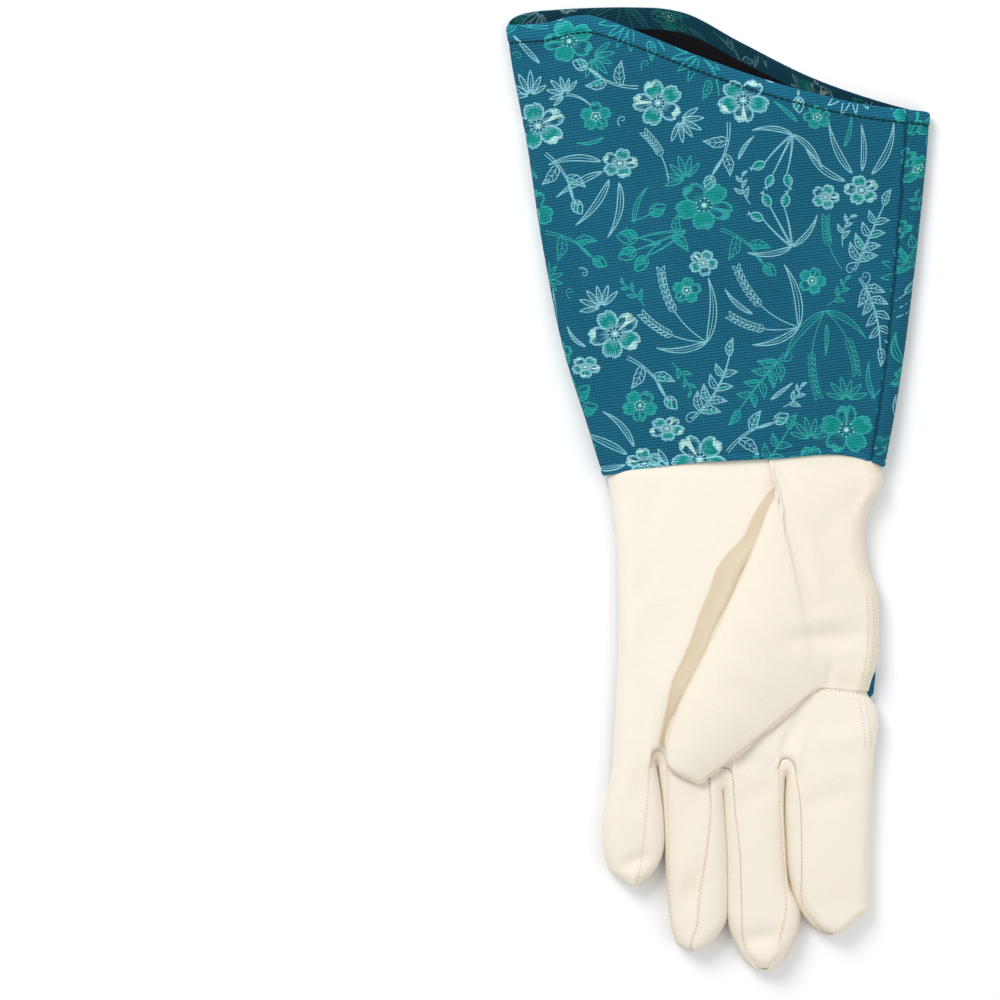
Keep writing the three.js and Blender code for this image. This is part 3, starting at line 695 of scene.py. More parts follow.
    def palm(self, leather: bpy.types.Material) -> None:
        """The palm with the finger fronts, wrapped round both sides to the back's seams."""
        fronts = [self.front(finger) for finger in FINGERS]
        parts, (left, crotch_width) = [], self.crotches
        for i, (finger, grid) in enumerate(zip(FINGERS, fronts)):
            across, up = self.finger_across(finger)
            key = grid[0, :, 0] - left
            if finger.left is Side.WRAP:
                key[:len(self.side)] = self.side
            if finger.right is Side.WRAP:
                key[-len(self.side):] = crotch_width - self.side[::-1]
            parts.append((key, up, grid[0]))
            if i < len(CROTCH_TOPS):
                arc = self.arc(i, 17)[1:-1]
                parts.append((arc[:, 0] - left, np.ones(len(arc), bool), arc))
        key, up, last = (np.concatenate(part) for part in zip(*parts))
        v = (1 - (1 - np.linspace(0, 1, self.rows)) ** 1.25)[:, None]
        grid = self.palm_at(key, up, self.down(v, last), crotch_width)
        blend = v ** 14
        grid[..., 0] = grid[..., 0] * (1 - blend) + last[None, :, 0] * blend
        middles = np.array([self.arc(i, 17)[8, 0] - left for i in range(3)])
        away = np.abs(key[:, None] - middles).min(1)
        blend = v ** (8 + 50 * peak(np.maximum(away - 3, 0), 2.5))
        grid[..., 2] = grid[..., 2] * (1 - blend) + last[None, :, 2] * blend
        middle = (grid[:-1, :-1] + grid[1:, 1:]) / 2
        line = mm((786, 430), (790, 470), (834, 684), (900, 684))
        under = (middle[..., 1] > line[3, 1]) & (
            middle[..., 0] > np.interp(middle[..., 1], line[[2, 1, 0], 1], line[[2, 1, 0], 0]))
        shaped = self.relief(grid)
        shaped[..., 2] += self.tent(shaped) * ease((grid[..., 2] - 6) / 4)
        # Painted shade beside seams, in the crease and below the wing, and the strip beside the thumb that is painted
        # in shade
        tone = self.tone(shaped) + self.painted_crease_shade(shaped)
        patches = [Patch(shaped, keep=~under, tone=np.clip(tone, 0, 1), strip=self.painted_shade_strip(shaped))]
        for grid in fronts:
            shaped = self.relief(grid)
            patches.append(Patch(shaped, tone=self.tone(shaped)))
        self.leathers.append(self.cut_out(mesh_of("palm_leather", patches), leather, "palm_panel"))

    def beside_crease(self, points: np.ndarray) -> np.ndarray:
        """How far each point is past the crease beside the folded thumb, towards the thumb."""
        order = np.argsort(CREASE[:, 1])
        edge = np.interp(points[..., 1], CREASE[order, 1], CREASE[order, 0])
        return (points[..., 0] - edge) * 0.85

    def tent(self, points: np.ndarray) -> np.ndarray:
        """How far the folded thumb pulls the palm's leather up beside it, and the step down under its wing."""
        y, side = points[..., 1], self.beside_crease(points)
        low = ease((y + 122) / 10)
        rise = 2.6 * np.clip(side / 7, 0, 1) ** 1.3 * (1 - ease((side - 9) / 8)) * low
        rise = rise * ease((-6 - y) / 10) - 0.12 * peak(side, 0.9) * low * ease((-8 - y) / 8)
        return rise - 1.2 * (ease((points[..., 0] - 30) / 3) * ease((above_wing_seam(points) - 0.2) / 1.3))

    def painted_shade_strip(self, points: np.ndarray) -> np.ndarray:
        """How far each point is inside the turned-up strip beside the thumb, which the leather paints in shade."""
        y, side = points[..., 1], self.beside_crease(points)
        inside = np.minimum(np.minimum(side, 15 - side), 0.6 * np.minimum(y + 124, -6 - y))
        return np.clip(np.where(points[..., 2] > 8, inside, 0), -3, 14)

    def painted_crease_shade(self, points: np.ndarray) -> np.ndarray:
        """Painted shade in the crease, most at its lower end, and painted shadow just below the wing."""
        x, y = points[..., 0], points[..., 1]
        deep = ease((-55 - y) / 30) * ease((y + 124) / 4)
        tone = 0.45 * deep * peak(self.beside_crease(points) - 0.5, 0.7)
        below = -above_wing_seam(points)
        beside = ease((x - WING_SEAM[0, 0]) / 3) * ease((36 - x) / 8) * ease((below + 4) / 3)
        return tone + 0.4 * np.exp(-np.abs(below) / 4) * beside

    def thumb(self, leather: bpy.types.Material) -> None:
        """The thumb folded over the palm, in one piece with the wing that goes round the index finger's side."""
        places = np.concatenate([np.linspace(0, 14, 99), 15 - (1 - np.linspace(0, 1, 9)[1:]) ** 2])
        lines = rows_at(THUMB_LINES, places)
        s = np.array(self.inner)
        s = np.interp(np.linspace(0, 1, 58), np.linspace(0, 1, len(s)), s)[None, :]
        near, far = lines[:, None, 0:2], lines[:, None, 2:4]
        flat = near * (1 - s[..., None]) + far * s[..., None]
        side_y = flat[0, :, 1]
        side_x = side_at(RIGHT_SIDE, side_y) - self.bend
        fade = (1 - np.clip(places / 4, 0, 1))[:, None] ** 1.5
        flat[..., 0] += (side_x - flat[0, :, 0])[None, :] * fade
        width = np.linalg.norm(lines[:, 2:4] - lines[:, 0:2], axis=1)[:, None]
        high_near, high_far, crown, round_near, round_far = (lines[:, i, None] for i in range(4, 9))
        level = self.top + self.crown * dome(flat[..., 0] / 60) - self.wrist_press(flat[..., 1])
        level = level + high_near * (1 - s) + high_far * s
        level = level - 0.85 * ease((flat[..., 0] - 27) / 6) * ease((10 - above_wing_seam(flat)) / 9)
        z = level + crown * dome(2 * s - 1, 0.9)
        z = z - round_near * (1 - bow(s * width / round_near)) - round_far * (1 - bow((1 - s) * width / round_far))
        low = level - round_near * (1 - s) - round_far * s
        tip = bow((15 - places) / 1.6)[:, None]
        z = np.where(places[:, None] > 6, low + (z - low) * tip, z)
        grid = np.concatenate([flat, z[..., None]], -1)
        shaped = self.relief(grid, WING_DENTS)
        # Painted shade along both rolled edges of the thumb, and the hand's own painted shade
        tone = 0.35 * peak(s * width, 1.5) + 0.3 * peak((1 - s) * width, 1.5)
        tone = tone * ease((places[:, None] - 4) / 3) + self.tone(shaped) * 0.8
        side = self.wing_side(side_y, grid[0])
        side = np.concatenate([side[:-1], shaped[:1]])
        first = places >= 5.0
        under = np.stack([flat[first][..., 0], flat[first][..., 1], low[first]], -1)
        edge = np.zeros(under.shape[:2], bool)
        edge[:, [0, -1]] = True
        edge[-1] = True
        under[edge] = shaped[first][edge]
        # The wing's side is painted in shade
        patches = [Patch(shaped, tone=np.clip(tone, 0, 1)), Patch(side, tone=0.25 * np.ones(side.shape[:2]))]
        self.leathers.append(self.cut_out(mesh_of("thumb_leather", patches), leather, "thumb_panel"))
        # The thumb's underside is painted in shade
        patches = [Patch(under, tone=0.5 * np.ones(under.shape[:2]))]
        self.cut_out(mesh_of("thumb_underside", patches, way=(0, 0, -1)), leather)

    def wing_side(self, y: np.ndarray, edge: np.ndarray) -> np.ndarray:
        """Rows of the wing from the back's seam up round the hand's side to the wing's top."""
        outline = side_at(RIGHT_SIDE, y)
        rows = []
        top = edge[:, 2]
        for d, up in zip(np.append(self.side, self.bend), np.append(self.side_up, True)):
            share = min(d / self.bend, 1.0)
            high = self.middle + (top - self.middle) * bow(np.array(share))
            low = self.middle * (1 - bow(np.array(d / self.heel)))
            rows.append(np.column_stack([outline - d, y, high if up else np.full(len(y), low)]))
        return np.array(rows)

    def fourchette(self, index: int) -> np.ndarray:
        """The strip between a finger and the next one: down one side, round the crotch and along the other."""
        one, two = FINGERS[index], FINGERS[index + 1]
        halves = []
        for finger, right in ((one, True), (two, False)):
            section = self.sections[finger.name]
            marks = section.marks
            d = (marks[:, 3] - marks[:, 2] if right else marks[:, 1])[:, None]
            angle = np.linspace(1, 0, 9)[None, :]
            turn = np.arccos(np.clip(1 - d / section.bend[:, None], -1, 1))
            above = section.bend[:, None] * (1 - np.cos(turn * angle))
            above = np.minimum(above, d)
            above[:, 0] = d[:, 0]
            below = np.array([0.1, 0.3, self.seam_in]) * (section.bend / self.bend)[:, None]
            inside = np.concatenate([above, below], 1)
            up = np.array([True] * 9 + [False] * 3)
            width = section.width[:, None]
            halves.append((section.at(width - inside if right else inside, up), inside, d))
        a, b = halves[0][0], halves[1][0]
        count = 17
        arc, g = self.arc(index, count), np.linspace(0, 1, count)
        low_arc = self.low_arc(index, count)
        hole = a[0, 8][None] * (1 - g[:, None]) + b[0, 8][None] * g[:, None]
        fan = np.zeros((count, a.shape[1], 3))
        for c in range(a.shape[1]):
            if c <= 8:
                share = [1 - h[1][0, c] / h[2][0, 0] for h in halves]
                rise = [(h[0][0, c, 2] - h[0][0, 8, 2]) / (h[0][0, 0, 2] - h[0][0, 8, 2]) for h in halves]
                f, r = (share[0] * (1 - g) + share[1] * g)[:, None], rise[0] * (1 - g) + rise[1] * g
                fan[:, c, :2] = arc[:, :2] * (1 - f) + hole[:, :2] * f
                fan[:, c, 2] = hole[:, 2] + (arc[:, 2] - hole[:, 2]) * r
            else:
                f = ((a[0, c] - a[0, 8])[2] / (a[0, 11] - a[0, 8])[2])
                fan[:, c] = hole * (1 - f) + low_arc * f
        return np.concatenate([a[::-1], fan[1:-1], b])

    def low_arc(self, index: int, count: int) -> np.ndarray:
        """The back's edge round the crotch between a finger and the next one."""
        ends = []
        for finger, right in ((FINGERS[index], True), (FINGERS[index + 1], False)):
            section = self.sections[finger.name]
            d = self.seam_in * section.bend / self.bend
            across = (section.width - d if right else d)[:, None]
            ends.append(section.at(across, np.array([False]))[0, 0])
        g = np.linspace(0, 1, count)[:, None]
        a, b = ends
        turn = (a + b) / 2 + np.array([0, 9.0, 0.8])
        return (1 - g) ** 2 * a + 2 * g * (1 - g) * turn + g ** 2 * b

    def fourchettes(self, leather: bpy.types.Material) -> None:
        """Make the three strips between the fingers."""
        for i, name in enumerate(("little_ring", "ring_middle", "middle_index")):
            shaped = self.relief(self.fourchette(i))
            # Painted shade, deeper the lower the strip lies between the fingers
            tone = np.clip(self.tone(shaped) + 0.85 * ease((self.shade_from[i] - shaped[..., 2]) / 3.5), 0, 1)
            grid = shaped[:len(self.ways)]
            centre = self.sections[FINGERS[i].name].knots[:, [0, 3]].mean(1)
            out = grid[len(grid) // 2, 8] - np.append(centre[len(grid) // 2], 6)
            obj = mesh_of(f"fourchette_{name}_leather", [Patch(shaped, tone=tone)], way=tuple(out))
            turn_by(obj, grid[len(grid) // 2, 8], out)
            self.leathers.append(self.cut_out(obj, leather, f"fourchette_{name}", thick=self.strip_leather))

    def back(self, canvas: bpy.types.Material, leather: bpy.types.Material) -> bpy.types.Object:
        """The back: cloth to just past the knuckles, and leather behind each finger."""
        tabs, rest, parts = [], [], []
        left, crotch_width = self.crotches
        q = np.linspace(0, 1, 15)
        for i, finger in enumerate(FINGERS):
            section = self.sections[finger.name]
            d = (self.seam_in * section.bend / self.bend)[:, None]
            across = d + (section.width[:, None] - 2 * d) * q
            grid = section.at(across, np.zeros(len(q), bool))
            run = np.concatenate([[0], np.cumsum(np.linalg.norm(np.diff(grid[:, 7], axis=0), axis=1))])
            cut = int(np.searchsorted(run, self.knuckle))
            tabs.append(grid[:cut + 1])
            rest.append(grid[cut:])
            parts.append((grid[0, :, 0] - left, grid[0]))
            if i < len(CROTCH_TOPS):
                arc = self.low_arc(i, 11)[1:-1]
                parts.append((arc[:, 0] - left, arc))
        key, last = (np.concatenate(part) for part in zip(*parts))
        key[0], key[-1] = self.seam_in, crotch_width - self.seam_in
        v = np.linspace(0, 1, 84)[:, None]
        y = self.down(v, last)
        grid = self.palm_at(key, np.zeros(len(key), bool), y, crotch_width)
        grid[..., 0] += 1.5 * ease((y + 101) / 5) * ease((key - crotch_width / 2) / (crotch_width / 2))
        blend = v ** 14
        grid = grid * (1 - blend[..., None]) + last[None] * blend[..., None]
        edge_y = grid[:, -1, 1]
        bulge = side_at(BACK_BULGE, edge_y)
        outline = grid[:, -1, 0] + self.seam_in
        roll = []
        for share, height in ((0.25, 0.9), (0.6, 1.2), (0.88, 2.4), (1.0, 4.0), (0.88, 5.4), (0.5, 6.4), (0.0, 6.8)):
            x = outline - 0.4 + (bulge + 0.3) * share
            flat = grid[:, -1, 2] + (height - grid[:, -1, 2]) * np.clip(bulge / 1.2, 0, 1)
            roll.append(np.column_stack([x, edge_y, flat]))
        lip = np.concatenate([grid[:, -1:], np.stack(roll, 1)], 1)
        keep = np.repeat((side_at(BACK_BULGE, (edge_y[:-1] + edge_y[1:]) / 2) > 0.05)[:, None], len(roll), 1)
        obj = mesh_of("back_cloth", [Patch(grid), *[Patch(tab) for tab in tabs]], way=(0, 0, -1))
        for finger, grid in zip(FINGERS, rest):
            # The finger backs, underneath, are painted in shade
            patches = [Patch(grid, tone=0.2 * np.ones(grid.shape[:2]))]
            self.cut_out(mesh_of(f"finger_back_{finger.name}_leather", patches, way=(0, 0, -1)), leather,
                         f"finger_back_{finger.name}")
        self.lip = mesh_of("back_cloth_bulge", [Patch(lip, keep=keep)], way=(1, 0, 0))
        walled(self.lip, self.cloth)
        dressed(self.lip, (), canvas)
        return obj


# The cuff's sections: share of the way to the mouth; left and right ends and the round edge and crown, as
# shares of its width and its thickness there
CUFF_SECTIONS = [(0.0, -0.499, 0.4976, 0.4, 0.2), (0.12, -0.526, 0.4977, 0.37, 0.26),
                 (0.25, -0.5548, 0.4934, 0.33, 0.34), (0.5, -0.5665, 0.478, 0.27, 0.46),
                 (0.75, -0.5598, 0.4599, 0.23, 0.54), (0.93, -0.5622, 0.446, 0.22, 0.56),
                 (1.0, -0.5588, 0.439, 0.22, 0.56)]
# Edges of the cuff from its left fold to its right one, as shares of its length, and of the tuck at the wrist
MOUTH_FRONT = [(0, .958), (.05, .9587), (.1, .9615), (.13, .969), (.16, .9735), (.19, .974), (.22, .967), (.27, .950),
               (.33, .9275), (.42, .892), (.5, .864), (.65, .8195), (.8, .789), (1, .7695)]
MOUTH_BACK = [(0, .958), (.01, .973), (.03, .985), (.06, .992), (.11, .9965), (.2, 1.001), (.31, 1.002),
              (.37, .9995), (.42, .9905), (.55, .929), (.72, .851), (.88, .799), (1, .7695)]
WRIST_EDGE = [(0, -.346), (.25, .122), (.6, .387), (.88, .488), (1, .04)]
CUFF_DENTS = (dent(530, 54, 14, 4.5, 10, 2.0), dent(640, 180, 40, 14, 20, 0.8), dent(790, 330, 45, 16, -20, 0.9),
              dent(600, 330, 18, 40, 0, 0.6), dent(720, 300, 30, 30, 0, -0.7), dent(850, 200, 20, 40, 0, 0.6))


@dataclass
class Cuff:
    """The canvas cuff: one printed panel with a turned hem and one side seam, and its black lining."""

    length: float = 203.5
    wrist_width: float = 124.4
    mouth_width: float = 187.0
    wrist_thickness: float = 17.0
    mouth_thickness: float = 21.0
    tuck: float = 10.0
    seam_at_wrist: float = 6.5
    seam_at_mouth: float = 10.5
    hem: float = 8.8
    stitch_from_lip: float = 6.9
    cloth: float = 0.9
    lining_cloth: float = 0.6
    columns: int = 260

    def __post_init__(self) -> None:
        """Work out the length that the cuff has on average."""
        self.mean_length = self.length * 0.89

    def ring(self, along: float, inset: float) -> tuple[np.ndarray, np.ndarray]:
        """One section as a closed loop that starts at the side seam and runs to the left over the top.

        Args:
            along: share of the way from the wrist to the mouth.
            inset: how far inside the outer side, in mm.
        Returns:
            Points, and for each how far it is from the section's middle along the cloth.
        """
        left, right, edge, crown = rows_at(CUFF_SECTIONS, np.array([along]))[0]
        width = self.wrist_width + (self.mouth_width - self.wrist_width) * along
        thick = self.wrist_thickness + (self.mouth_thickness - self.wrist_thickness) * along
        a, b = left * width, right * width
        span, radius = b - a, max(edge * thick - inset, 0.3)
        crown, flat = crown * thick, b - a - 2 * inset - 2 * radius
        near, far = inset + radius, inset + radius + flat
        quarter, half = np.linspace(0, math.pi / 2, 24), np.linspace(math.pi / 2, 1.5 * math.pi, 48)
        w = np.linspace(1, -1, 300)

        def edge_round(start: float, turns: np.ndarray) -> tuple[np.ndarray, np.ndarray]:
            """A part of the round edge."""
            return start + radius * np.cos(turns), radius + radius * np.sin(turns)

        parts = [(*edge_round(far, quarter), False),
                 (near + flat * (1 + w) / 2, 2 * radius + crown * (1 - w * w) ** 1.4, False),
                 (*edge_round(near, half[:24]), False), (*edge_round(near, half[24:]), True),
                 (near + flat * np.linspace(0, 1, 200), np.zeros(200), True), (*edge_round(far, -quarter[::-1]), True)]
        u = np.concatenate([p[0] for p in parts])
        z = np.concatenate([p[1] for p in parts]) + inset
        under = np.concatenate([np.full(len(p[0]), p[2]) for p in parts])
        share = np.clip(u / span, 0, 1)
        lip = np.where(under, side_at(MOUTH_BACK, share), side_at(MOUTH_FRONT, share)) * self.length
        wrist = side_at(WRIST_EDGE, share) * self.tuck
        y = wrist + (lip - wrist) * along
        loop = np.column_stack([a + u, y, z])
        seam_x = b - (self.seam_at_wrist + (self.seam_at_mouth - self.seam_at_wrist) * along)
        start = int(np.argmax(~under & (loop[:, 0] <= seam_x)))
        loop = np.concatenate([loop[start:], loop[:start], loop[start:start + 1]])
        run = np.concatenate([[0], np.cumsum(np.hypot(np.diff(loop[:, 0]), np.diff(loop[:, 2])))])
        edges = np.array([0, .35, .8, 1.4, 2.2, 3.2])
        inner = np.linspace(4.4, run[-1] - 4.4, self.columns - 2 * len(edges))
        at = np.concatenate([edges, inner, run[-1] - edges[::-1]])
        points = np.column_stack([np.interp(at, run, loop[:, i]) for i in range(3)])
        middle = np.interp(0, -loop[:250, 0], run[:250])
        return points, middle - at

    def sheet(self, stops: list[tuple[float, float]]) -> tuple[np.ndarray, np.ndarray]:
        """Rings at places along the cuff.

        Args:
            stops: for each ring, mm from the wrist's edge, or from the lip where below zero, and its inset.
        Returns:
            Points, and places on the flat cloth.
        """
        points, cloth = [], []
        for at, inset in stops:
            along = at / self.mean_length if at >= 0 else 1 + at / self.mean_length
            ring, u = self.ring(along, inset)
            points.append(ring)
            cloth.append(np.column_stack([u, ring[:, 1]]))
        points, cloth = np.array(points), np.array(cloth)
        points[..., 2] = np.maximum(points[..., 2], FLOOR_GAP)
        return points, cloth

    def soften(self, points: np.ndarray, cloth: np.ndarray) -> np.ndarray:
        """Give the flat form the lie of worn cloth, and press the side seam in."""
        run = cloth[..., 0].max(1, keepdims=True) - cloth[..., 0]
        distance = np.minimum(run, run[:, -1:] - run)
        x, y, z = points[..., 0], points[..., 1], points[..., 2]
        up = ease((z - 5) / 5)
        wave = (0.45 * np.sin(x / 17 + 1.1 * np.sin(y / 31)) * np.sin(y / 24 + 0.6)
                + 0.25 * np.sin(x / 8.3 - y / 21) + 0.12 * np.sin(y / 6.1 + x / 13))
        add = sum(one.height(points) for one in CUFF_DENTS) + wave
        add = add * ease(y / 14) - 1.5 * np.exp(-np.clip(y - 2, 0, None) / 5) * ease((z - 12) / 4)
        add = add - 0.85 * peak(distance, 0.7) + 0.3 * peak(distance - 2.2, 1.1)
        out = points.copy()
        out[..., 2] = z + add * up
        return out

    def panel_sheet(self) -> tuple[np.ndarray, np.ndarray]:
        """The panel's points from its turned wrist edge, along the outer side, over the lip and into the hem."""
        stops = [(5.0, 1.6), (2.5, 1.6), (0.7, 1.5), (0.1, 1.0), (0.0, 0.45), (0.25, 0.05)]
        for at in np.concatenate([np.linspace(0.7, 6, 12), np.linspace(7, self.mean_length - 12, 108)]):
            stops.append((at, -0.3 * math.exp(-((at - 1.4) / 0.9) ** 2) + 0.3 * math.exp(-((at - 3.1) / 0.6) ** 2)))
        backs = np.linspace(11.5, 1.4, 24)
        for back in backs:
            swell = -0.35 * float(ease(np.array((self.stitch_from_lip - back) / 1.5)))
            stops.append((-back, swell + 0.4 * math.exp(-((back - self.stitch_from_lip) / 0.55) ** 2)))
        self.stitch_row = len(stops) - len(backs) + int(np.argmin(np.abs(backs - self.stitch_from_lip)))
        for angle in np.linspace(0.15, 1, 7) * math.pi:
            stops.append((-1.2 + 1.2 * math.sin(angle) - 1e-6, 0.85 - 1.2 * math.cos(angle)))
        lip = self.lip_row = len(stops) - 4
        for back in np.linspace(2.0, self.hem, 8):
            stops.append((-back, 2.1))
        points, cloth = self.sheet(stops)
        cloth[lip + 1:, :, 1] = 2 * cloth[lip, :, 1] - cloth[lip + 1:, :, 1]
        cloth[lip + 1:, :, 0] = cloth[lip, :, 0]
        cloth[:5, :, 1] = 2 * cloth[4:5, :, 1] - cloth[:5, :, 1] - 1.5
        return self.soften(points, cloth), cloth

    def panel(self) -> bpy.types.Object:
        """The outer panel, one sheet thick until it has its print."""
        self.points, self.flat = self.panel_sheet()
        tone = np.zeros(self.points.shape[:2])
        # Painted shade on the hem's inner face inside the mouth
        tone[self.lip_row + 1:] = 0.66
        # Painted highlight on the hem band and, most, on the lip
        tone[self.stitch_row + 1:self.lip_row - 2] = -0.22
        tone[self.lip_row - 2:self.lip_row + 1] = -0.32
        # Painted highlight along the rolled wrist edge
        tone[3:12] = -0.38 * np.linspace(1, 0.2, 9)[:, None]
        # Painted shade in the side seam's groove
        tone[2:self.lip_row - 2, [0, 1, -2, -1]] += 0.4
        obj = mesh_of("cuff_canvas", [Patch(self.points, cloth=self.flat, tone=tone)], away=(0, 100, 9))
        turn_by(obj, self.points[60, 120], np.array([0, 0, 1]))
        return obj

    def lining(self, material: bpy.types.Material) -> None:
        """The black lining."""
        points, cloth = self.sheet([(at, 2.9) for at in np.linspace(13, self.mean_length - 9, 60)])
        shaped = self.soften(points, cloth)
        obj = mesh_of("cuff_lining_cloth", [Patch(shaped, cloth=cloth)], away=(0, 100, 9))
        turn_by(obj, shaped[30, 120], np.array([0, 0, 1]))
        cut = cut_of(obj)
        walled(obj, self.lining_cloth)
        dressed(obj, ("cuff_lining",), material)


class Ink(Enum):
    """The print's colours, and for each the level that it is laid on at."""

    FILL = (0.003, 0.24, 0.225, 0)
    SEA = (0.028, 0.33, 0.325, 1)
    MINT = (0.21, 0.51, 0.59, 2)
    PALE = (0.43, 0.72, 0.67, 2)


def ray(turn: float) -> np.ndarray:
    """A step of 1 in a direction."""
    return np.array([math.cos(turn), math.sin(turn)])


def rays(turns: np.ndarray) -> np.ndarray:
    """Steps of 1 in many directions."""
    return np.column_stack([np.cos(turns), np.sin(turns)])


def sides_of(path: np.ndarray) -> np.ndarray:
    """The step of 1 to a line's left at each of its points."""
    run = np.gradient(path, axis=0)
    side = np.column_stack([-run[:, 1], run[:, 0]])
    return side / np.maximum(np.linalg.norm(side, axis=1, keepdims=True), 1e-9)


def heading(path: np.ndarray, i: int) -> float:
    """The direction in which a line comes to one of its points."""
    run = path[i] - path[i - 1]
    return math.atan2(run[1], run[0])


def curve(a: np.ndarray, b: np.ndarray, bend: float, count: int) -> np.ndarray:
    """A bent line from a to b; bend is a share of its length."""
    a, b = np.asarray(a, float), np.asarray(b, float)
    t = np.linspace(0, 1, count)[:, None]
    run = b - a
    middle = (a + b) / 2 + np.array([-run[1], run[0]]) * bend
    return (1 - t) ** 2 * a + 2 * t * (1 - t) * middle + t ** 2 * b


def stalk(base: np.ndarray, turn: float, length: float, bend: float, count: int) -> np.ndarray:
    """A bent line that sets out from a place."""
    return curve(base, base + length * ray(turn), bend, count)


@dataclass
class Botanical:
    """A made-up garden print, drawn flat in mm as ribbons: dog roses, buds, hips, sprigs, twigs, ears and blades."""

    low: tuple[float, float]
    high: tuple[float, float]
    seed: int = 7
    pen: Ink = Ink.MINT
    weight: float = 1.25
    cell: float = 1.0
    margin: int = 50
    widest_band: float = 1.6
    strips: list = field(default_factory=list)
    discs: list = field(default_factory=list)

    def __post_init__(self) -> None:
        """Start with nothing drawn."""
        cells = np.ceil((np.array(self.high) - self.low) / self.cell).astype(int) + 2 * self.margin
        self.used = np.zeros(cells, bool)

    def cells_of(self, points: np.ndarray) -> tuple[np.ndarray, np.ndarray]:
        """The cells of the cloth that points lie in."""
        at = ((points - np.array(self.low)) / self.cell).astype(int) + self.margin
        return tuple(np.clip(at[:, i], 1, self.used.shape[i] - 2) for i in range(2))

    def free(self, at: np.ndarray, reach: int) -> bool:
        """Whether nothing is drawn within some cells of a place."""
        i, j = (int(one[0]) for one in self.cells_of(at[None]))
        return not self.used[max(i - reach, 0):i + reach + 1, max(j - reach, 0):j + reach + 1].any()

    def keep(self, first: int, most: float) -> bool:
        """Keep the strips from the given one on if they lie over others in no more than a share of their cells."""
        shares = np.linspace(0, 1, 4)[:, None, None]
        points = [(left + (right - left) * shares).reshape(-1, 2) for left, right, _ in self.strips[first:]]
        around = rays(np.arange(0, 2 * math.pi, 0.35))
        for seat, size in self.discs:
            points += [seat + r * around for r in np.arange(1.0, size, self.cell)]
        self.discs.clear()
        i, j = self.cells_of(np.concatenate(points))
        if self.used[i, j].mean() > most:
            del self.strips[first:]
            return False
        for step in (-1, 0, 1):
            self.used[i + step, j] = True
            self.used[i, j + step] = True
        return True

    def strip(self, left: np.ndarray, right: np.ndarray, ink: Ink) -> None:
        """Fill the space between two lines, in bands that are narrow enough to follow the cloth."""
        left, right = np.asarray(left, float), np.asarray(right, float)
        bands = int(np.linalg.norm(right - left, axis=-1).max() / self.widest_band) + 1
        for i in range(bands):
            a, b = left + (right - left) * i / bands, left + (right - left) * (i + 1) / bands
            self.strips.append((a, b, ink))

    def line(self, points: np.ndarray, width: float, taper: bool = False) -> None:
        """Draw a line of a width with the pen."""
        points = np.asarray(points, float)
        half = np.full(len(points), self.weight * width / 2)
        if taper:
            half = half * np.linspace(1, 0.35, len(points))
        out = sides_of(points) * half[:, None]
        self.strip(points + out, points - out, self.pen)

    def pair(self, middle: np.ndarray, out: np.ndarray, width: float) -> None:
        """Draw a line on each side of a middle one."""
        for side in (1, -1):
            self.line(middle + side * out, width)

    def veins(self, roots: np.ndarray, ends: np.ndarray, picks: range, lengths: np.ndarray, width: float) -> None:
        """Draw short lines that set out from one line towards another."""
        for k, length in zip(picks, lengths):
            start = roots[k] + (ends[k] - roots[k]) * 0.03
            self.line(np.array([start, start + (ends[k] - roots[k]) * length]), width, taper=True)

    def stem(self, path: np.ndarray, wide: float = 1.0) -> None:
        """A stem drawn as two thin lines that run together at its end."""
        self.pair(path, sides_of(path) * (wide / 2 * np.linspace(1, 0.15, len(path)))[:, None], 0.34)

    def leaf(self, base: np.ndarray, turn: float, length: float, filled: bool, wide: float = 0.2) -> None:
        """A pointed leaf with a midrib, and with side veins where it is long enough."""
        count = 20
        t = np.linspace(0, 1, count)
        half = wide * length * np.sin(math.pi * t ** 0.72) ** (0.8 + 0.5 * t)
        half = half * (1 + 0.07 * np.sin(t * 19 + turn))
        along, across = ray(turn), ray(turn + math.pi / 2)
        spine = base + np.outer(t * length, along) + np.outer(0.09 * length * np.sin(math.pi * t), across)
        one, two = spine + np.outer(half, across), spine - np.outer(half, across)
        if filled:
            self.strip(spine, two, Ink.FILL)
        self.pair(spine, np.outer(half, across), 0.4)
        self.line(spine, 0.34, taper=True)
        if length > 8:
            for i in range(4, count - 6, 4):
                for edge in (one, two):
                    self.line(curve(spine[i], spine[i + 3] + (edge[i + 3] - spine[i + 3]) * 0.7, 0.08, 3), 0.24)

    def twig(self, base: np.ndarray, turn: float, length: float, bend: float) -> None:
        """A thin stem with small leaves to its sides in turn."""
        path = stalk(base, turn, length, bend, 22)
        self.line(path, 0.36)
        for k, i in enumerate(range(5, 22, 4)):
            self.leaf(path[i], heading(path, i) + (0.75 if k % 2 else -0.75), 5.2 - 0.5 * k, False, 0.17)

    def ear(self, base: np.ndarray, turn: float, length: float, bend: float) -> None:
        """A grass stalk with an ear of grains."""
        path, t = stalk(base, turn, length, bend, 30), np.linspace(0, 1, 8)
        self.line(path, 0.36)
        for i in range(15, 30, 2):
            for side in (0.5, -0.5):
                way = heading(path, i) + side
                grain = path[i] + np.outer(t * 3.6, ray(way))
                self.pair(grain, np.outer(0.62 * np.sin(math.pi * t), ray(way + math.pi / 2)), 0.3)

    def blade(self, base: np.ndarray, turn: float, length: float, bend: float) -> None:
        """A long narrow leaf."""
        path, t = stalk(base, turn, length, bend, 22), np.linspace(0, 1, 22)
        self.pair(path, sides_of(path) * (0.055 * length * np.sin(math.pi * t ** 0.7))[:, None], 0.4)
        self.line(path, 0.3, taper=True)

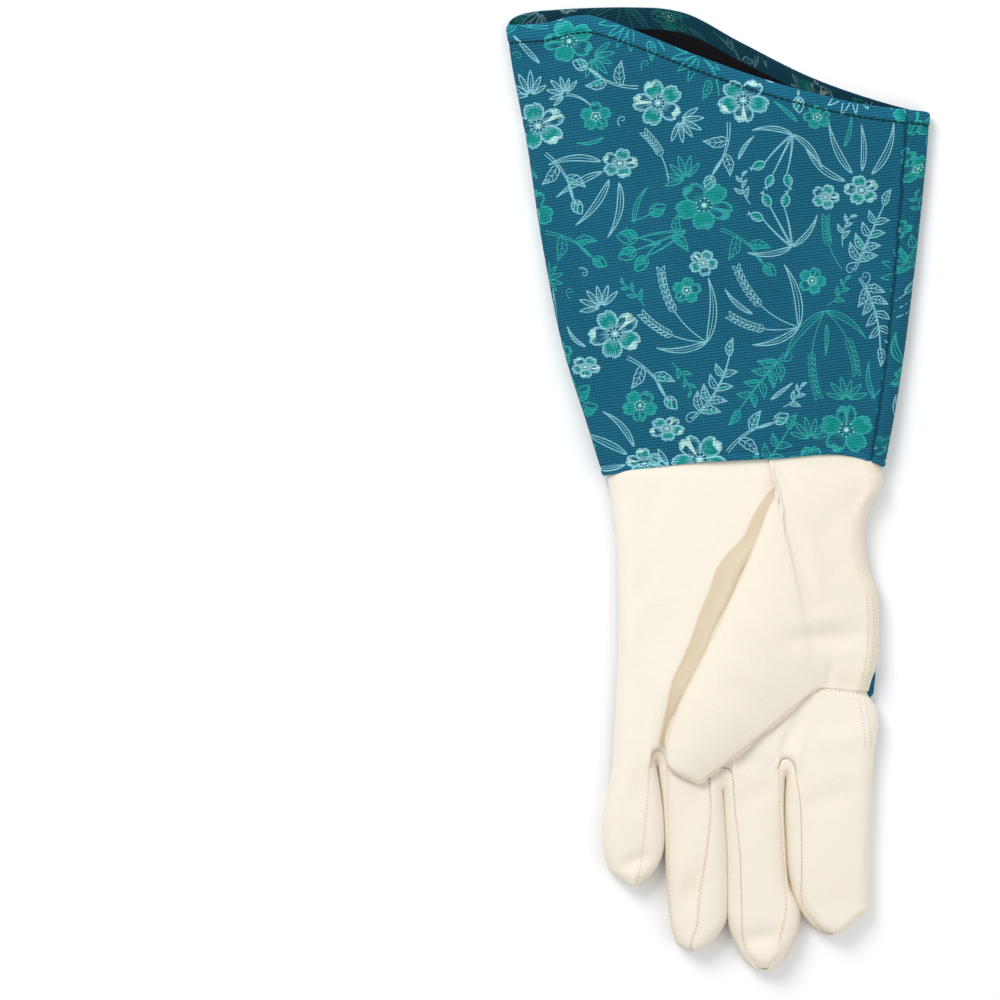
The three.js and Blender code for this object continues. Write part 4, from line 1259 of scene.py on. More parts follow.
    def sprig(self, base: np.ndarray, turn: float, length: float, pairs: int, leaf: float, filled: bool,
              bend: float = 0.15) -> np.ndarray:
        """A stem with pairs of leaves and one at its end."""
        path = stalk(base, turn, length, bend, 26)
        self.stem(path)
        for i in range(pairs):
            at = int(4 + i * 19 / pairs)
            for side in (1, -1):
                self.leaf(path[at], heading(path, at + 1) + side * 0.9, leaf * (1 - 0.35 * i / pairs),
                          filled and (i + (side > 0)) % 2 == 0)
        self.leaf(path[-1], heading(path, -1), leaf * 0.9, filled)
        return path

    def rose(self, at: np.ndarray, size: float, turn: float, tilt: float = 1.0) -> None:
        """An open dog rose: five notched petals, some filled and some with pale rims, a ring and stamens."""
        squeeze, seat = np.array([1.0, tilt]), np.asarray(at, float)
        self.discs.append((seat, size * 0.95))
        rng = np.random.default_rng(int(abs(at[0] * 37 + at[1] * 91)))
        first = int(rng.integers(0, 5))
        pale = Ink.PALE if self.pen is Ink.MINT else Ink.SEA
        t = np.linspace(-1, 1, 29)
        for i in range(5):
            reach = size * (0.34 + 0.66 * np.cos(t * math.pi / 2) ** 0.42 * (1 - 0.15 * peak(t, 0.15)))
            reach = reach * (1 + 0.022 * np.sin(t * 23 + i))
            spread = rays(turn + i * 2 * math.pi / 5 + t * 0.62)
            edge, inner = seat + spread * reach[:, None] * squeeze, seat + spread * (size * 0.25) * squeeze
            kind = (i + first) % 5
            if kind in (0, 1, 3):
                self.strip(inner, inner + (edge - inner) * 0.93, Ink.FILL)
            if kind in (1, 2, 4) and size > 6.5:
                part = slice(2, 20) if i % 2 else slice(9, 27)
                deep = 0.30 * np.sin(np.linspace(0, math.pi, 18))[:, None] * (1 + 0.3 * rng.random((18, 1)))
                self.strip(edge[part], edge[part] + (inner - edge)[part] * deep, pale)
            if kind == 2:
                self.strip(edge[11:18], inner[11:18], pale)
            self.line(edge, 0.6)
            self.veins(edge, inner, range(2, 27, 2), 0.18 + 0.2 * rng.random(13), 0.34)
            self.veins(inner, edge, range(4, 25, 4), 0.25 + 0.3 * rng.random(6), 0.3)
        circle = rays(np.linspace(0, 2 * math.pi, 18)) * squeeze
        self.line(seat + circle * size * 0.12, 0.42)
        self.strip(seat + circle * size * 0.085, seat + circle * 0.01, Ink.PALE)
        for i in range(10):
            arm = ray(turn + i * 2 * math.pi / 10) * squeeze
            reach = size * (0.21 + 0.05 * (i % 2))
            self.line(np.array([seat + arm * size * 0.13, seat + arm * reach]), 0.26)
            dot = seat + arm * (reach + 0.3)
            self.strip(dot + circle[::4] * 0.42, dot + circle[::4] * 0.02, Ink.PALE)

    def bud(self, at: np.ndarray, size: float, turn: float) -> None:
        """A closed bud in its sepals, on a short stem."""
        along, across, t = ray(turn), ray(turn + math.pi / 2), np.linspace(0, 1, 16)
        half = size * 0.34 * np.sin(math.pi * t ** 0.75) ** 0.8
        body = at + np.outer(t * size, along)
        low = body - np.outer(half, across)
        self.strip(body, body + (low - body) * 0.9, Ink.FILL)
        self.pair(body, np.outer(half, across), 0.45)
        self.line(body + np.outer(half * np.cos(t * 3.0), across), 0.36)
        for side in (-1, 0.1, 1):
            tip = at + along * size * 0.62 + across * side * size * 0.42
            self.line(curve(at, tip, -0.18 * side, 8), 0.5, taper=True)
        self.line(curve(at, at - along * size * 1.1 + across * 1.5, 0.1, 8), 0.5)

    def hip(self, at: np.ndarray, size: float, turn: float) -> None:
        """A rose hip with its dried crown."""
        along, across, t = ray(turn), ray(turn + math.pi / 2), np.linspace(0, 1, 14)
        half = size * 0.33 * np.sin(math.pi * t) ** 0.6
        body = at + np.outer(t * size, along)
        self.strip(body + np.outer(half * 0.86, across), body - np.outer(half * 0.86, across), Ink.FILL)
        self.pair(body, np.outer(half, across), 0.42)
        for k in (4, 6, 8, 10):
            self.line(curve(body[k] + across * half[k], body[k] + across * half[k] * 0.2, 0.2, 4), 0.28)
        for side in (-0.5, 0, 0.5):
            self.line(np.array([body[-1], body[-1] + along * size * 0.25 + across * side * size * 0.3]), 0.36)

    def tendril(self, at: np.ndarray, size: float, turn: float, hand: int) -> None:
        """A curling tendril."""
        t = np.linspace(0, 1, 34)
        step = size / 34 * (1 - 0.55 * t)
        self.line(at + np.cumsum(rays(turn + hand * 7.2 * t ** 1.6) * step[:, None], axis=0), 0.42, taper=True)

    def star(self, at: np.ndarray, size: float, turn: float, count: int) -> None:
        """A rosette of pointed leaves."""
        for i in range(count):
            way = turn + (i - (count - 1) / 2) * 0.5
            length = size * (1 - 0.3 * abs(i / (count - 1) - 0.5)) * (0.86 + 0.2 * abs(math.sin(i * 2.4 + turn * 7)))
            tip = at + length * ray(way)
            for bend in (0.22, -0.22):
                self.line(curve(at + 1.2 * ray(way), tip, bend, 9), 0.42)
            self.line(np.array([at + 2 * ray(way), tip - 0.3 * length * ray(way)]), 0.28, taper=True)

    def spray(self, at: np.ndarray, kind: int, turn: float, rng: np.random.Generator) -> None:
        """One large group of the print, of one of seven kinds."""
        self.pen = Ink.MINT if rng.random() < 0.55 else Ink.SEA
        if kind == 0:
            size = rng.uniform(11.0, 13.5)
            self.rose(at, size, turn, rng.uniform(0.75, 1.0))
            self.star(at + (size + 1) * ray(turn), 11, turn, 6)
            path = curve(at - size * ray(turn), at - (size + 24) * ray(turn + 0.2), 0.2, 24)
            self.stem(path, 1.3)
            self.leaf(path[7], turn + 2.2, 11, False)
            self.leaf(path[13], turn - 2.3, 10, rng.random() < 0.6)
            self.bud(path[-1], 7, turn + 3.4)
        elif kind == 1:
            path = self.sprig(at - 17 * ray(turn), turn, 32, 4, 9.0, rng.random() < 0.6, rng.uniform(-0.2, 0.2))
            self.tendril(path[3], 18, turn + 1.9, 1)
        elif kind == 2:
            root = at - 17 * ray(turn)
            for part, more, length, bend in ((self.ear, 0.0, 36, rng.uniform(-0.25, 0.25)), (self.ear, 0.6, 29, 0.2),
                                             (self.blade, -0.6, 28, -0.18), (self.blade, 1.1, 22, 0.2)):
                part(root, turn + more, length, bend)
        elif kind == 3:
            for side in (-0.5, 0.05, 0.6):
                root = at + 5 * ray(turn + 2 * side)
                self.bud(root, rng.uniform(8, 10), turn + side)
                self.stem(curve(at - 18 * ray(turn), root, 0.15 * side, 12), 0.9)
            for down, more, length, filled in ((12, 2.0, 10, True), (14, -2.0, 9, False)):
                self.leaf(at - down * ray(turn), turn + more, length, filled)
        elif kind == 4:
            for side in (-0.7, 0.0, 0.7):
                root = at + 6 * ray(turn + 1.6 * side)
                self.stem(curve(at - 14 * ray(turn), root, 0.1 * side, 10), 0.7)
                self.hip(root, rng.uniform(5, 6.5), turn + side)
            for more, length, bend in ((1.2, 20, 0.2), (-1.2, 18, -0.2)):
                self.blade(at - 14 * ray(turn), turn + more, length, bend)
        elif kind == 5:
            self.star(at, 15, turn, 11)
            self.stem(curve(at, at - 20 * ray(turn + 0.2), 0.2, 16), 1.1)
            self.leaf(at - 12 * ray(turn + 0.1), turn + 2.6, 9, False)
        else:
            seat = at - 12 * ray(turn)
            self.rose(seat, 8.0, turn, 0.8)
            for side, bend in ((-0.8, -0.2), (-0.25, -0.1), (0.3, 0.15), (0.85, 0.22)):
                self.blade(seat + 8.4 * ray(turn + side), turn + side * 0.8, rng.uniform(18, 26), bend)

    def middling(self, at: np.ndarray, pick: float, turn: float, rng: np.random.Generator) -> None:
        """One group of a middle size."""
        if pick < 0.3:
            self.rose(at, rng.uniform(6.0, 8.0), turn, rng.uniform(0.65, 1.0))
        elif pick < 0.6:
            self.sprig(at - 9 * ray(turn), turn, 17, 3, 7, rng.random() < 0.5)
        elif pick < 0.72:
            self.ear(at - 10 * ray(turn), turn, 22, rng.uniform(-0.25, 0.25))
        elif pick < 0.86:
            self.star(at - 2 * ray(turn), 9, turn, 7)
            self.stem(curve(at - 2 * ray(turn), at - 14 * ray(turn + 0.3), 0.2, 14))
        else:
            self.bud(at, 8, turn)
            self.blade(at - 8 * ray(turn), turn + 0.7, 17, 0.2)

    def small(self, at: np.ndarray, pick: float, turn: float, rng: np.random.Generator) -> None:
        """One small group that fills a space."""
        if pick < 0.45:
            self.twig(at - 7 * ray(turn), turn, rng.uniform(12, 16), rng.uniform(-0.3, 0.3))
        elif pick < 0.9:
            self.blade(at - 7 * ray(turn), turn, rng.uniform(12, 17), rng.uniform(-0.25, 0.25))
        else:
            self.tendril(at, 14, turn, 1 if rng.random() < 0.5 else -1)

    def draw(self) -> None:
        """Spread large groups over the cloth, then fill the spaces with smaller ones."""
        rng = np.random.default_rng(self.seed)
        low, high = np.array(self.low), np.array(self.high)
        kinds, made = (0, 1, 6, 0, 3, 5, 0, 2, 4, 1), [0, 0, 0]
        for rank, (tries, reach, most) in enumerate(((1200, 6, 0.075), (1500, 3, 0.065), (2200, 1, 0.05))):
            for _ in range(tries):
                at = low + (high - low) * rng.random(2)
                turn = rng.uniform(0.6, 2.5) if rng.random() < 0.6 else rng.uniform(0, 6.28)
                if not self.free(at, reach):
                    continue
                first = len(self.strips)
                if rank == 0:
                    self.spray(at, kinds[made[0] % len(kinds)], turn, rng)
                else:
                    self.pen = Ink.MINT if rng.random() < 0.4 else Ink.SEA
                    (self.middling if rank == 1 else self.small)(at, rng.random(), turn, rng)
                made[rank] += self.keep(first, most)
        log.info("print: %s groups, %d strips", made, len(self.strips))

    def flat_mesh(self, name: str) -> bpy.types.Object:
        """The drawing as one flat mesh in metres, with its colours and levels."""
        verts, faces, inks, start = [], [], [], 0
        for left, right, ink in self.strips:
            count = len(left)
            verts.append(np.stack([left, right], 1).reshape(-1, 2))
            i = start + 2 * np.arange(count - 1)
            faces.append(np.column_stack([i, i + 1, i + 3, i + 2]))
            inks.append(np.tile(np.array(ink.value), (2 * count, 1)))
            start += 2 * count
        flat, quads, ink = np.concatenate(verts) * MM, np.concatenate(faces), np.concatenate(inks)
        a, b, c, d = (flat[quads[:, k]] for k in range(4))
        turned = (c - a)[:, 0] * (d - b)[:, 1] - (c - a)[:, 1] * (d - b)[:, 0] < 0
        quads[turned] = quads[turned][:, ::-1]
        mesh = bpy.data.meshes.new(name)
        mesh.from_pydata(np.column_stack([flat, np.zeros(len(flat))]).tolist(), [], quads.tolist())
        fill(mesh.uv_layers.new(name="cloth").data, "uv", flat[quads.reshape(-1)])
        fill(mesh.attributes.new("ink", "FLOAT_COLOR", "POINT").data, "color",
             np.column_stack([ink[:, :3], np.ones(len(ink))]))
        fill(mesh.attributes.new("level", "FLOAT", "POINT").data, "value", ink[:, 3])
        return placed(name, smooth(mesh))


class Graph:
    """A node tree that is being built."""

    def __init__(self, tree: bpy.types.NodeTree) -> None:
        """Take a tree as it is."""
        self.tree = tree

    def add(self, kind: str, settings: dict[str, object] | None = None, **inputs: object) -> bpy.types.Node:
        """Add a node.

        Args:
            kind: its type.
            settings: its own settings.
            inputs: a value for each input, or a socket to link to it. An underscore stands for a space, and _1 for
                the input of that number.
        Returns:
            The node.
        """
        node = self.tree.nodes.new(kind)
        for name, value in (settings or {}).items():
            setattr(node, name, value)
        for name, value in inputs.items():
            socket = node.inputs[int(name[1:])] if name[1:].isdigit() else node.inputs[name.replace("_", " ")]
            if isinstance(value, bpy.types.NodeSocket):
                self.tree.links.new(value, socket)
            else:
                socket.default_value = value
        return node

    def math(self, kind: str, a: object, b: object = 0.5, c: object = 0.0) -> bpy.types.NodeSocket:
        """One step of arithmetic."""
        return self.add("ShaderNodeMath", {"operation": kind}, _0=a, _1=b, _2=c).outputs[0]


class Recipe(Graph):
    """A geometry node tree with named inputs that ends in real geometry of one material."""

    def __init__(self, name: str, **wanted: str) -> None:
        """Make the tree and its sockets: for each input's name its kind."""
        super().__init__(bpy.data.node_groups.new(name, "GeometryNodeTree"))
        new = self.tree.interface.new_socket
        for way in ("OUTPUT", "INPUT"):
            new("Geometry", in_out=way, socket_type="NodeSocketGeometry")
        self.ids = {key: new(key, in_out="INPUT", socket_type=f"NodeSocket{kind}").identifier
                    for key, kind in wanted.items()}
        self.source = self.add("NodeGroupInput").outputs

    def attribute(self, name: str, kind: str = "FLOAT") -> bpy.types.NodeSocket:
        """A named attribute."""
        return self.add("GeometryNodeInputNamedAttribute", {"data_type": kind}, Name=name).outputs["Attribute"]

    def end(self, geometry: bpy.types.NodeSocket, material: str) -> None:
        """Make the geometry real and give it the material of a named input."""
        real = self.add("GeometryNodeRealizeInstances", Geometry=geometry)
        dyed = self.add("GeometryNodeSetMaterial", Geometry=real.outputs[0], Material=self.source[material])
        self.add("NodeGroupOutput", _0=dyed.outputs[0])

    def run(self, obj: bpy.types.Object, **values: object) -> None:
        """Put the tree on an object with a value for each input, and make the result a plain mesh."""
        modifier = obj.modifiers.new(self.tree.name, "NODES")
        modifier.node_group = self.tree
        for name, value in values.items():
            modifier[self.ids[name]] = value
        settle(obj)


@dataclass
class PrintOnCloth:
    """Lays a flat drawing on a sheet of cloth by the sheet's own flat places."""

    lift: float = 0.05
    longest: float = 6.0

    def lay(self, drawing: bpy.types.Object, cloth: bpy.types.Object, material: bpy.types.Material) -> None:
        """Wrap the drawing and make it a plain mesh. Each level lies higher by half the lift."""
        g = Recipe("print_on_cloth", Cloth="Object", Lift="Float", Ink="Material")
        sheet = g.add("GeometryNodeObjectInfo", Object=g.source["Cloth"]).outputs["Geometry"]
        place, normal = (g.add(f"GeometryNodeInput{kind}").outputs[0] for kind in ("Position", "Normal"))
        flat = g.attribute("cloth", "FLOAT_VECTOR")
        at, way, tone = (
            g.add("GeometryNodeSampleUVSurface", {"data_type": "FLOAT_VECTOR"}, Mesh=sheet, Value=value,
                  Source_UV_Map=flat, Sample_UV=place).outputs for value in (place, normal, g.attribute("tone")))
        height = g.math("MULTIPLY", g.math("ADD", g.math("MULTIPLY", g.attribute("level")), 1.0), g.source["Lift"])
        out = g.add("ShaderNodeVectorMath", {"operation": "SCALE"}, _0=way["Value"], Scale=height)
        total = g.add("ShaderNodeVectorMath", _0=at["Value"], _1=out.outputs[0])
        lost = g.add("FunctionNodeBooleanMath", {"operation": "NOT"}, _0=at["Is Valid"])
        # The ink takes the cloth's painted shade and highlight
        shaded = g.add("GeometryNodeStoreNamedAttribute", {"data_type": "FLOAT"}, Geometry=g.source["Geometry"],
                       Name="tone", Value=tone["Value"])
        gone = g.add("GeometryNodeCaptureAttribute")
        gone.capture_items.new("BOOLEAN", "lost")
        g.tree.links.new(shaded.outputs["Geometry"], gone.inputs["Geometry"])
        g.tree.links.new(lost.outputs[0], gone.inputs[1])
        moved = g.add("GeometryNodeSetPosition", Geometry=gone.outputs["Geometry"], Position=total.outputs[0])
        cut = g.add("GeometryNodeDeleteGeometry", Geometry=moved.outputs[0], Selection=gone.outputs[1])
        g.end(cut.outputs[0], "Ink")
        g.run(drawing, Cloth=cloth, Lift=self.lift * MM, Ink=material)
        self.trim(drawing)
        dressed(drawing, (), material)

    def trim(self, drawing: bpy.types.Object) -> None:
        """Take out faces that a seam of the cloth has pulled long."""
        bm = bmesh.new()
        bm.from_mesh(drawing.data)
        torn = [f for f in bm.faces if max(e.calc_length() for e in f.edges) > self.longest * MM]
        bmesh.ops.delete(bm, geom=torn, context="FACES")
        bm.to_mesh(drawing.data)
        bm.free()


@dataclass
class Stitching:
    """A row of sewn stitches along a line."""

    length: float
    gap: float
    radius: float

    def sew(self, name: str, lines: list[np.ndarray], slot: str, material: bpy.types.Material) -> None:
        """Sew along lines given in mm.

        Args:
            name: of the piece.
            lines: points of each line.
            slot: not used.
            material: the thread's.
        """
        verts, edges = [], []
        for line in lines:
            start = len(verts)
            verts += ((line + WRIST_PLACE) * MM).tolist()
            edges += [(start + i, start + i + 1) for i in range(len(line) - 1)]
        mesh = bpy.data.meshes.new(name)
        mesh.from_pydata(verts, edges, [])
        obj = placed(name, mesh)
        g = Recipe("stitching", Spacing="Float", Stitch="Vector", Thread="Material")
        curves = g.add("GeometryNodeMeshToCurve", Mesh=g.source["Geometry"])
        even = g.add("GeometryNodeResampleCurve", {"mode": "LENGTH"}, Curve=curves.outputs[0],
                     Length=g.source["Spacing"])
        shape = g.add("GeometryNodeMeshUVSphere", Segments=8, Rings=5, Radius=0.5)
        turn = g.add("FunctionNodeAlignRotationToVector", {"axis": "Z"},
                     Vector=g.add("GeometryNodeInputTangent").outputs[0])
        many = g.add("GeometryNodeInstanceOnPoints", Points=even.outputs[0], Instance=shape.outputs["Mesh"],
                     Rotation=turn.outputs[0], Scale=g.source["Stitch"])
        g.end(many.outputs[0], "Thread")
        size = (2 * self.radius * MM, 2 * self.radius * MM, self.length * MM)
        g.run(obj, Spacing=(self.length + self.gap) * MM, Stitch=size, Thread=material)
        smooth(obj.data)
        dressed(obj, (), material)


class Surface(Graph):
    """A material's node tree."""

    def noise(self, where: bpy.types.NodeSocket, scale: float, detail: float = 3.0,
              rough: float = 0.5) -> bpy.types.NodeSocket:
        """Soft noise between 0 and 1."""
        return self.add("ShaderNodeTexNoise", Vector=where, Scale=scale, Detail=detail, Roughness=rough).outputs["Fac"]

    def ramp(self, value: object, low: float, high: float, top: float) -> bpy.types.NodeSocket:
        """Go smoothly from 0 to top as a value goes from low to high."""
        return self.add("ShaderNodeMapRange", {"interpolation_type": "SMOOTHSTEP"}, Value=value, _1=low, _2=high,
                        _3=0.0, _4=top).outputs[0]

    def blend(self, share: object, a: tuple[float, ...], b: tuple[float, ...]) -> bpy.types.NodeSocket:
        """Mix two colours."""
        return self.add("ShaderNodeMix", {"data_type": "RGBA"}, _0=share, _6=(*a, 1), _7=(*b, 1)).outputs[2]

    def named(self, name: str, output: str = "Fac") -> bpy.types.NodeSocket:
        """A named attribute of the mesh."""
        return self.add("ShaderNodeAttribute", {"attribute_name": name}).outputs[output]

    def place(self) -> bpy.types.NodeSocket:
        """The place in the object's own frame."""
        return self.add("ShaderNodeTexCoord").outputs["Object"]

    def cloth(self) -> bpy.types.NodeSocket:
        """The place on the flat cloth."""
        return self.add("ShaderNodeUVMap", {"uv_map": "cloth"}).outputs["UV"]

    def bump(self, shader: bpy.types.Node, steps: tuple[tuple[object, float], ...]) -> None:
        """Put relief on a shader. steps: a height between 0 and 1, and what 1 is in metres."""
        last = {}
        for height, size in steps:
            node = self.add("ShaderNodeBump", Height=height, Distance=size, Strength=1.0, **last)
            last = {"Normal": node.outputs["Normal"]}
        self.tree.links.new(last["Normal"], shader.inputs["Normal"])


@dataclass(frozen=True)
class Finish:
    """A surface's finish: its name, colour, roughness, shine and sheen."""

    name: str
    colour: tuple[float, float, float]
    roughness: float
    shine: float
    sheen: float = 0.0

    def look(self, g: Surface) -> tuple[bpy.types.NodeSocket, tuple[tuple[object, float], ...]]:
        """The colour, and the steps of the relief."""
        raise NotImplementedError

    def dark(self, share: float) -> tuple[float, ...]:
        """The colour at a share of its brightness."""
        return tuple(share * c for c in self.colour)

    def make(self) -> bpy.types.Material:
        """Build the material."""
        material = bpy.data.materials.new(self.name)
        material.use_nodes = True
        material.diffuse_color = (*self.colour, 1)
        g = Surface(material.node_tree)
        shader = g.tree.nodes["Principled BSDF"]
        for name, value in (("Roughness", self.roughness), ("Specular IOR Level", self.shine),
                            ("Sheen Weight", self.sheen), ("Sheen Roughness", 0.5)):
            shader.inputs[name].default_value = value
        colour, steps = self.look(g)
        g.tree.links.new(colour, shader.inputs["Base Color"])
        g.bump(shader, steps)
        return material


@dataclass(frozen=True)
class GrainLeather(Finish):
    """Soft cream leather with a fine grain and tan clouds; painted shade in tan beside seams and in the strip by the
    thumb.
    """

    # The tan of the leather's random clouds, which also paints its shade
    tan: tuple[float, float, float] = (0.57, 0.44, 0.27)

    def look(self, g: Surface) -> tuple[bpy.types.NodeSocket, tuple[tuple[object, float], ...]]:
        """Its colour and relief."""
        where = g.place()
        cells = g.add("ShaderNodeTexVoronoi", {"feature": "SMOOTH_F1"}, Vector=where, Scale=1300.0,
                      Smoothness=0.6).outputs["Distance"]
        fine = g.math("MULTIPLY", g.noise(where, 2600.0, 3.0, 0.6), 0.4)
        pebbles = g.math("MULTIPLY_ADD", cells, 0.75, fine)
        creases, soft = g.noise(where, 210.0, 5.0, 0.62), g.noise(where, 45.0, 2.0)
        cloud = g.math("SUBTRACT", g.noise(where, 28.0, 4.0, 0.6))
        # The painted shade pulls the colour towards tan
        share = g.math("MULTIPLY_ADD", cloud, 0.16, g.math("MULTIPLY", g.named("tone"), 0.62))
        share = g.math("MULTIPLY_ADD", g.math("SUBTRACT", pebbles), 0.10, share)
        # The strip beside the thumb is painted in shade
        strip = g.named("strip")
        deep = g.math("SUBTRACT", g.ramp(strip, -0.3, 1.3, 0.72), g.ramp(strip, 1.5, 8.0, 0.12))
        share = g.math("MAXIMUM", g.math("ADD", share, deep), 0.0)
        return g.blend(share, self.colour, self.tan), ((soft, 0.0004), (creases, 0.00018), (pebbles, 0.00010))


@dataclass(frozen=True)
class RibCanvas(Finish):
    """Canvas with a raised rib across the cuff, crossed by finer threads, both a little turned, with its sheet's
    painted shade and highlight.

    inked: takes its print's colour.
    """

    rib: float = 0.0013
    bead: float = 0.00132
    turn: float = 0.13
    inked: bool = False

    @staticmethod
    def threads(g: Surface, place: object, apart: float, wobble: object, wander: float) -> bpy.types.NodeSocket:
        """Round threads across a place, some way apart, which wander a little."""
        across = g.math("MULTIPLY_ADD", wobble, wander, g.math("DIVIDE", place, apart))
        return g.math("POWER", g.math("MULTIPLY", g.math("PINGPONG", across, 0.5), 2.0), 0.6)

    def look(self, g: Surface) -> tuple[bpy.types.NodeSocket, tuple[tuple[object, float], ...]]:
        """Its colour and relief."""
        flat = g.cloth()
        u, v = g.add("ShaderNodeSeparateXYZ", _0=flat).outputs[:2]
        wobble = g.noise(flat, 60.0, 2.0)
        ridge = self.threads(g, g.math("MULTIPLY_ADD", u, -self.turn, v), self.rib, wobble, 0.9)
        knot = self.threads(g, g.math("MULTIPLY_ADD", v, self.turn, u), self.bead, wobble, 1.3)
        height = g.math("MULTIPLY", ridge, g.math("MULTIPLY_ADD", knot, 0.55, 0.45))
        light = g.math("MULTIPLY_ADD", height, *((0.55, 0.68) if self.inked else (1.1, 0.41)))
        light = g.math("MULTIPLY_ADD", g.noise(flat, 900.0, 2.0), 0.34, g.math("SUBTRACT", light, 0.17))
        cloud = g.noise(g.place(), 30.0, 3.0)
        light = g.math("MULTIPLY_ADD", cloud, 0.24, g.math("SUBTRACT", light, 0.12))
        # Painted shade, and painted highlight where below zero, from the sheet
        light = g.math("MULTIPLY", light, g.math("MULTIPLY_ADD", g.named("tone"), -1.0, 1.0))
        base = g.named("ink", "Color") if self.inked else (*self.colour, 1)
        grey = g.add("ShaderNodeCombineColor", _0=light, _1=light, _2=light)
        colour = g.add("ShaderNodeMix", {"data_type": "RGBA", "blend_type": "MULTIPLY"}, _0=1.0, _6=base,
                       _7=grey.outputs[0])
        return colour.outputs[2], ((cloud, 0.0006), (height, 0.00030))


@dataclass(frozen=True)
class TwillLining(Finish):
    """Black lining with a fine diagonal."""

    def look(self, g: Surface) -> tuple[bpy.types.NodeSocket, tuple[tuple[object, float], ...]]:
        """Its colour and relief."""
        flat = g.cloth()
        u, v = g.add("ShaderNodeSeparateXYZ", _0=flat).outputs[:2]
        wave = g.math("PINGPONG", g.math("DIVIDE", g.math("ADD", u, v), 0.0009), 0.5)
        height = g.math("MULTIPLY_ADD", wave, 1.2, g.noise(flat, 1500.0, 3.0))
        return g.blend(height, self.dark(0.55), self.colour), ((height, 0.0002),)


@dataclass(frozen=True)
class Thread(Finish):
    """Twisted sewing thread."""

    def look(self, g: Surface) -> tuple[bpy.types.NodeSocket, tuple[tuple[object, float], ...]]:
        """Its colour and relief."""
        twist = g.noise(g.place(), 3800.0, 2.0)
        return g.blend(twist, self.dark(0.75), self.colour), ((twist, 0.00008),)


@dataclass
class Studio:
    """The floor, the lights and the camera."""

    camera_at: tuple[float, float, float] = (-0.09616, -0.0062, 1.2302)
    lens: float = 100.0
    floor_size: float = 4.0
    sky: float = 0.60

    def build(self) -> None:
        """Make all of it."""
        scene = bpy.context.scene
        data = bpy.data.cameras.new("camera")
        data.lens, data.sensor_width = self.lens, 36.0
        camera = bpy.data.objects.new("camera", data)
        camera.location = self.camera_at
        scene.collection.objects.link(camera)
        scene.camera = camera
        scene.view_settings.view_transform = "Standard"
        world = bpy.data.worlds.new("studio")
        scene.world = world
        world.use_nodes = True
        world.node_tree.nodes["Background"].inputs[0].default_value = (0.97, 0.985, 1.0, 1)
        world.node_tree.nodes["Background"].inputs[1].default_value = self.sky
        self.light("key", (-0.75, 0.95, 1.25), 0.8, 18.1)
        self.light("fill", (0.9, -0.35, 1.2), 1.2, 5.6)
        self.floor()

    def light(self, name: str, place: tuple[float, float, float], size: float, power: float) -> None:
        """A soft square light that looks at the middle of the glove."""
        data = bpy.data.lights.new(name, "AREA")
        data.size, data.energy = size, power
        light = bpy.data.objects.new(name, data)
        light.location = place
        light.rotation_euler = (Vector((0.0, 0.0, 0.0)) - Vector(place)).to_track_quat("-Z", "Y").to_euler()
        bpy.context.scene.collection.objects.link(light)

    def floor(self) -> None:
        """A plain pale floor."""
        half = self.floor_size / 2
        mesh = bpy.data.meshes.new("floor")
        mesh.from_pydata([(-half, -half, 0), (half, -half, 0), (half, half, 0), (-half, half, 0)], [], [(0, 1, 2, 3)])
        floor = placed("floor", mesh)
        material = bpy.data.materials.new("pale_floor")
        material.use_nodes = True
        shader = material.node_tree.nodes["Principled BSDF"]
        shader.inputs["Base Color"].default_value = (0.93, 0.935, 0.94, 1)
        shader.inputs["Roughness"].default_value = 0.9
        shader.inputs["Specular IOR Level"].default_value = 0.1
        mesh.materials.append(material)


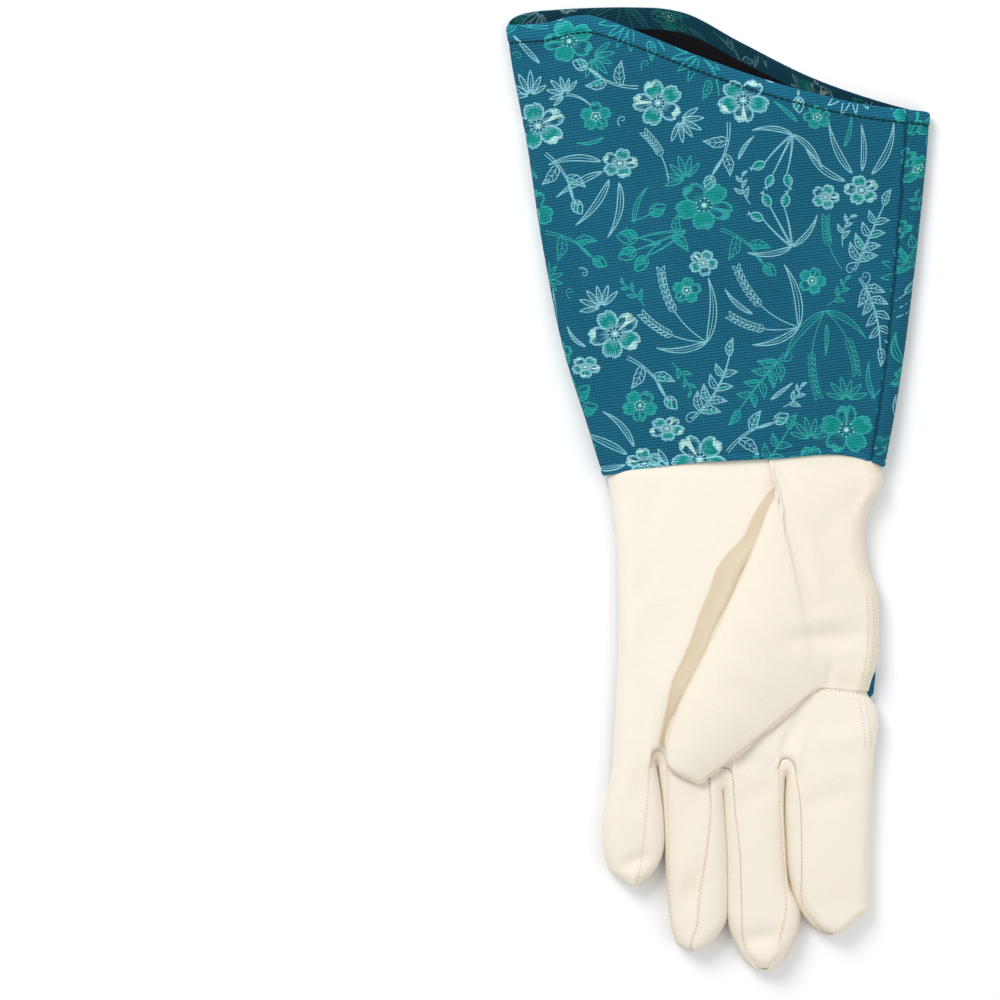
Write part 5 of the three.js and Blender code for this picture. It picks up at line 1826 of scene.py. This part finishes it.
@dataclass
class Gauntlet:
    """The whole gauntlet."""

    hand: Hand = field(default_factory=Hand)
    cuff: Cuff = field(default_factory=Cuff)

    def build(self) -> None:
        """Make and dress every piece."""
        leather = GrainLeather("cream_leather", (0.85, 0.785, 0.668), 0.62, 0.35, sheen=0.12).make()
        canvas = RibCanvas("printed_canvas", (0.0085, 0.109, 0.180), 0.85, 0.12).make()
        ink = RibCanvas("printed_canvas_ink", (0.3, 0.6, 0.6), 0.78, 0.12, inked=True).make()
        lining = TwillLining("black_lining", (0.006, 0.006, 0.008), 0.95, 0.1).make()
        cream = Thread("cream_thread", (0.66, 0.52, 0.36), 0.6, 0.08).make()
        dark = Thread("dark_thread", (0.007, 0.036, 0.032), 0.7, 0.08).make()
        self.hand.palm(leather)
        self.hand.thumb(leather)
        self.hand.fourchettes(leather)
        back = self.hand.back(canvas, leather)
        panel = self.cuff.panel()
        self.cuff.lining(lining)
        self.print_on(panel, back, ink)
        for obj, nodes, more in ((panel, ("cuff_panel",), []), (back, ("back_panel",), [self.hand.lip])):
            cut = cut_of(obj)
            walled(obj, self.cuff.cloth)
            dressed(obj, nodes, canvas)
        self.sew(cream, dark)

    def print_on(self, panel: bpy.types.Object, back: bpy.types.Object, ink: bpy.types.Material) -> None:
        """Draw the print and lay it on the cuff and on the back."""
        for obj in (panel, back):
            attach(obj, "root")
        for name, low, high, seed in (("front", -104.0, 96.0, 7), ("rear", -330.0, -110.0, 8)):
            drawing = Botanical((low, -4.0), (high, 222.0), seed=seed)
            drawing.draw()
            PrintOnCloth().lay(drawing.flat_mesh(f"cuff_print_{name}"), panel, ink)
        small = Botanical((-66.0, -146.0), (66.0, 12.0), seed=11)
        small.draw()
        PrintOnCloth().lay(small.flat_mesh("back_print"), back, ink)

    def sew(self, cream: bpy.types.Material, dark: bpy.types.Material) -> None:
        """Sew the hem and the leather."""
        row = self.cuff.points[self.cuff.stitch_row].copy()
        row[:, 2] += np.where(row[:, 2] > 5, 0.12, -0.02)
        row[:, 2] = np.maximum(row[:, 2], 0.6)
        Stitching(2.6, 0.15, 0.50).sew("hem_stitches", [row], "printed_canvas", dark)
        self.sew_leather(cream)

    def sew_leather(self, cream: bpy.types.Material) -> None:
        """Sew the finger seams, the crotches, the wing's seam and the pricked rows beside the index finger."""
        seams = [smooth_line(line, max(int(np.linalg.norm(np.diff(line, axis=0), axis=1).sum() / 0.5), 8))
                 for line in self.hand.seams]
        Stitching(0.9, 0.9, 0.15).sew("seam_stitches", self.on_leather(seams), "cream_leather", cream)
        rows = []
        for row in PRICK_ROWS:
            line = smooth_line(row, 60)
            rows += [line, line - np.array([PRICK_APART, 0.0])]
        Stitching(0.55, 1.0, 0.24).sew("pricked_stitches", self.on_leather(rows), "cream_leather", cream)

    def on_leather(self, lines: list[np.ndarray]) -> list[np.ndarray]:
        """Drop lines seen from above onto the leather, in mm."""
        trees = [BVHTree.FromPolygons([v.co for v in obj.data.vertices], [p.vertices for p in obj.data.polygons])
                 for obj in self.hand.leathers]
        down, made = Vector((0, 0, -1)), []
        for line in lines:
            dropped = []
            for x, y in line:
                start = Vector(((x + WRIST_PLACE[0]) * MM, (y + WRIST_PLACE[1]) * MM, 0.1))
                heights = [hit[0].z for hit in (tree.ray_cast(start, down) for tree in trees) if hit[0] is not None]
                if heights:
                    dropped.append((x, y, max(heights) / MM + 0.03))
            made.append(np.array(dropped))
        return made


def main() -> None:
    """Build the scene and report it."""
    logging.basicConfig(level=logging.INFO, format="%(name)s: %(message)s")
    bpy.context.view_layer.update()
    Studio().build()
    Gauntlet().build()
    bpy.context.view_layer.update()


if __name__ == "__main__":
    main()
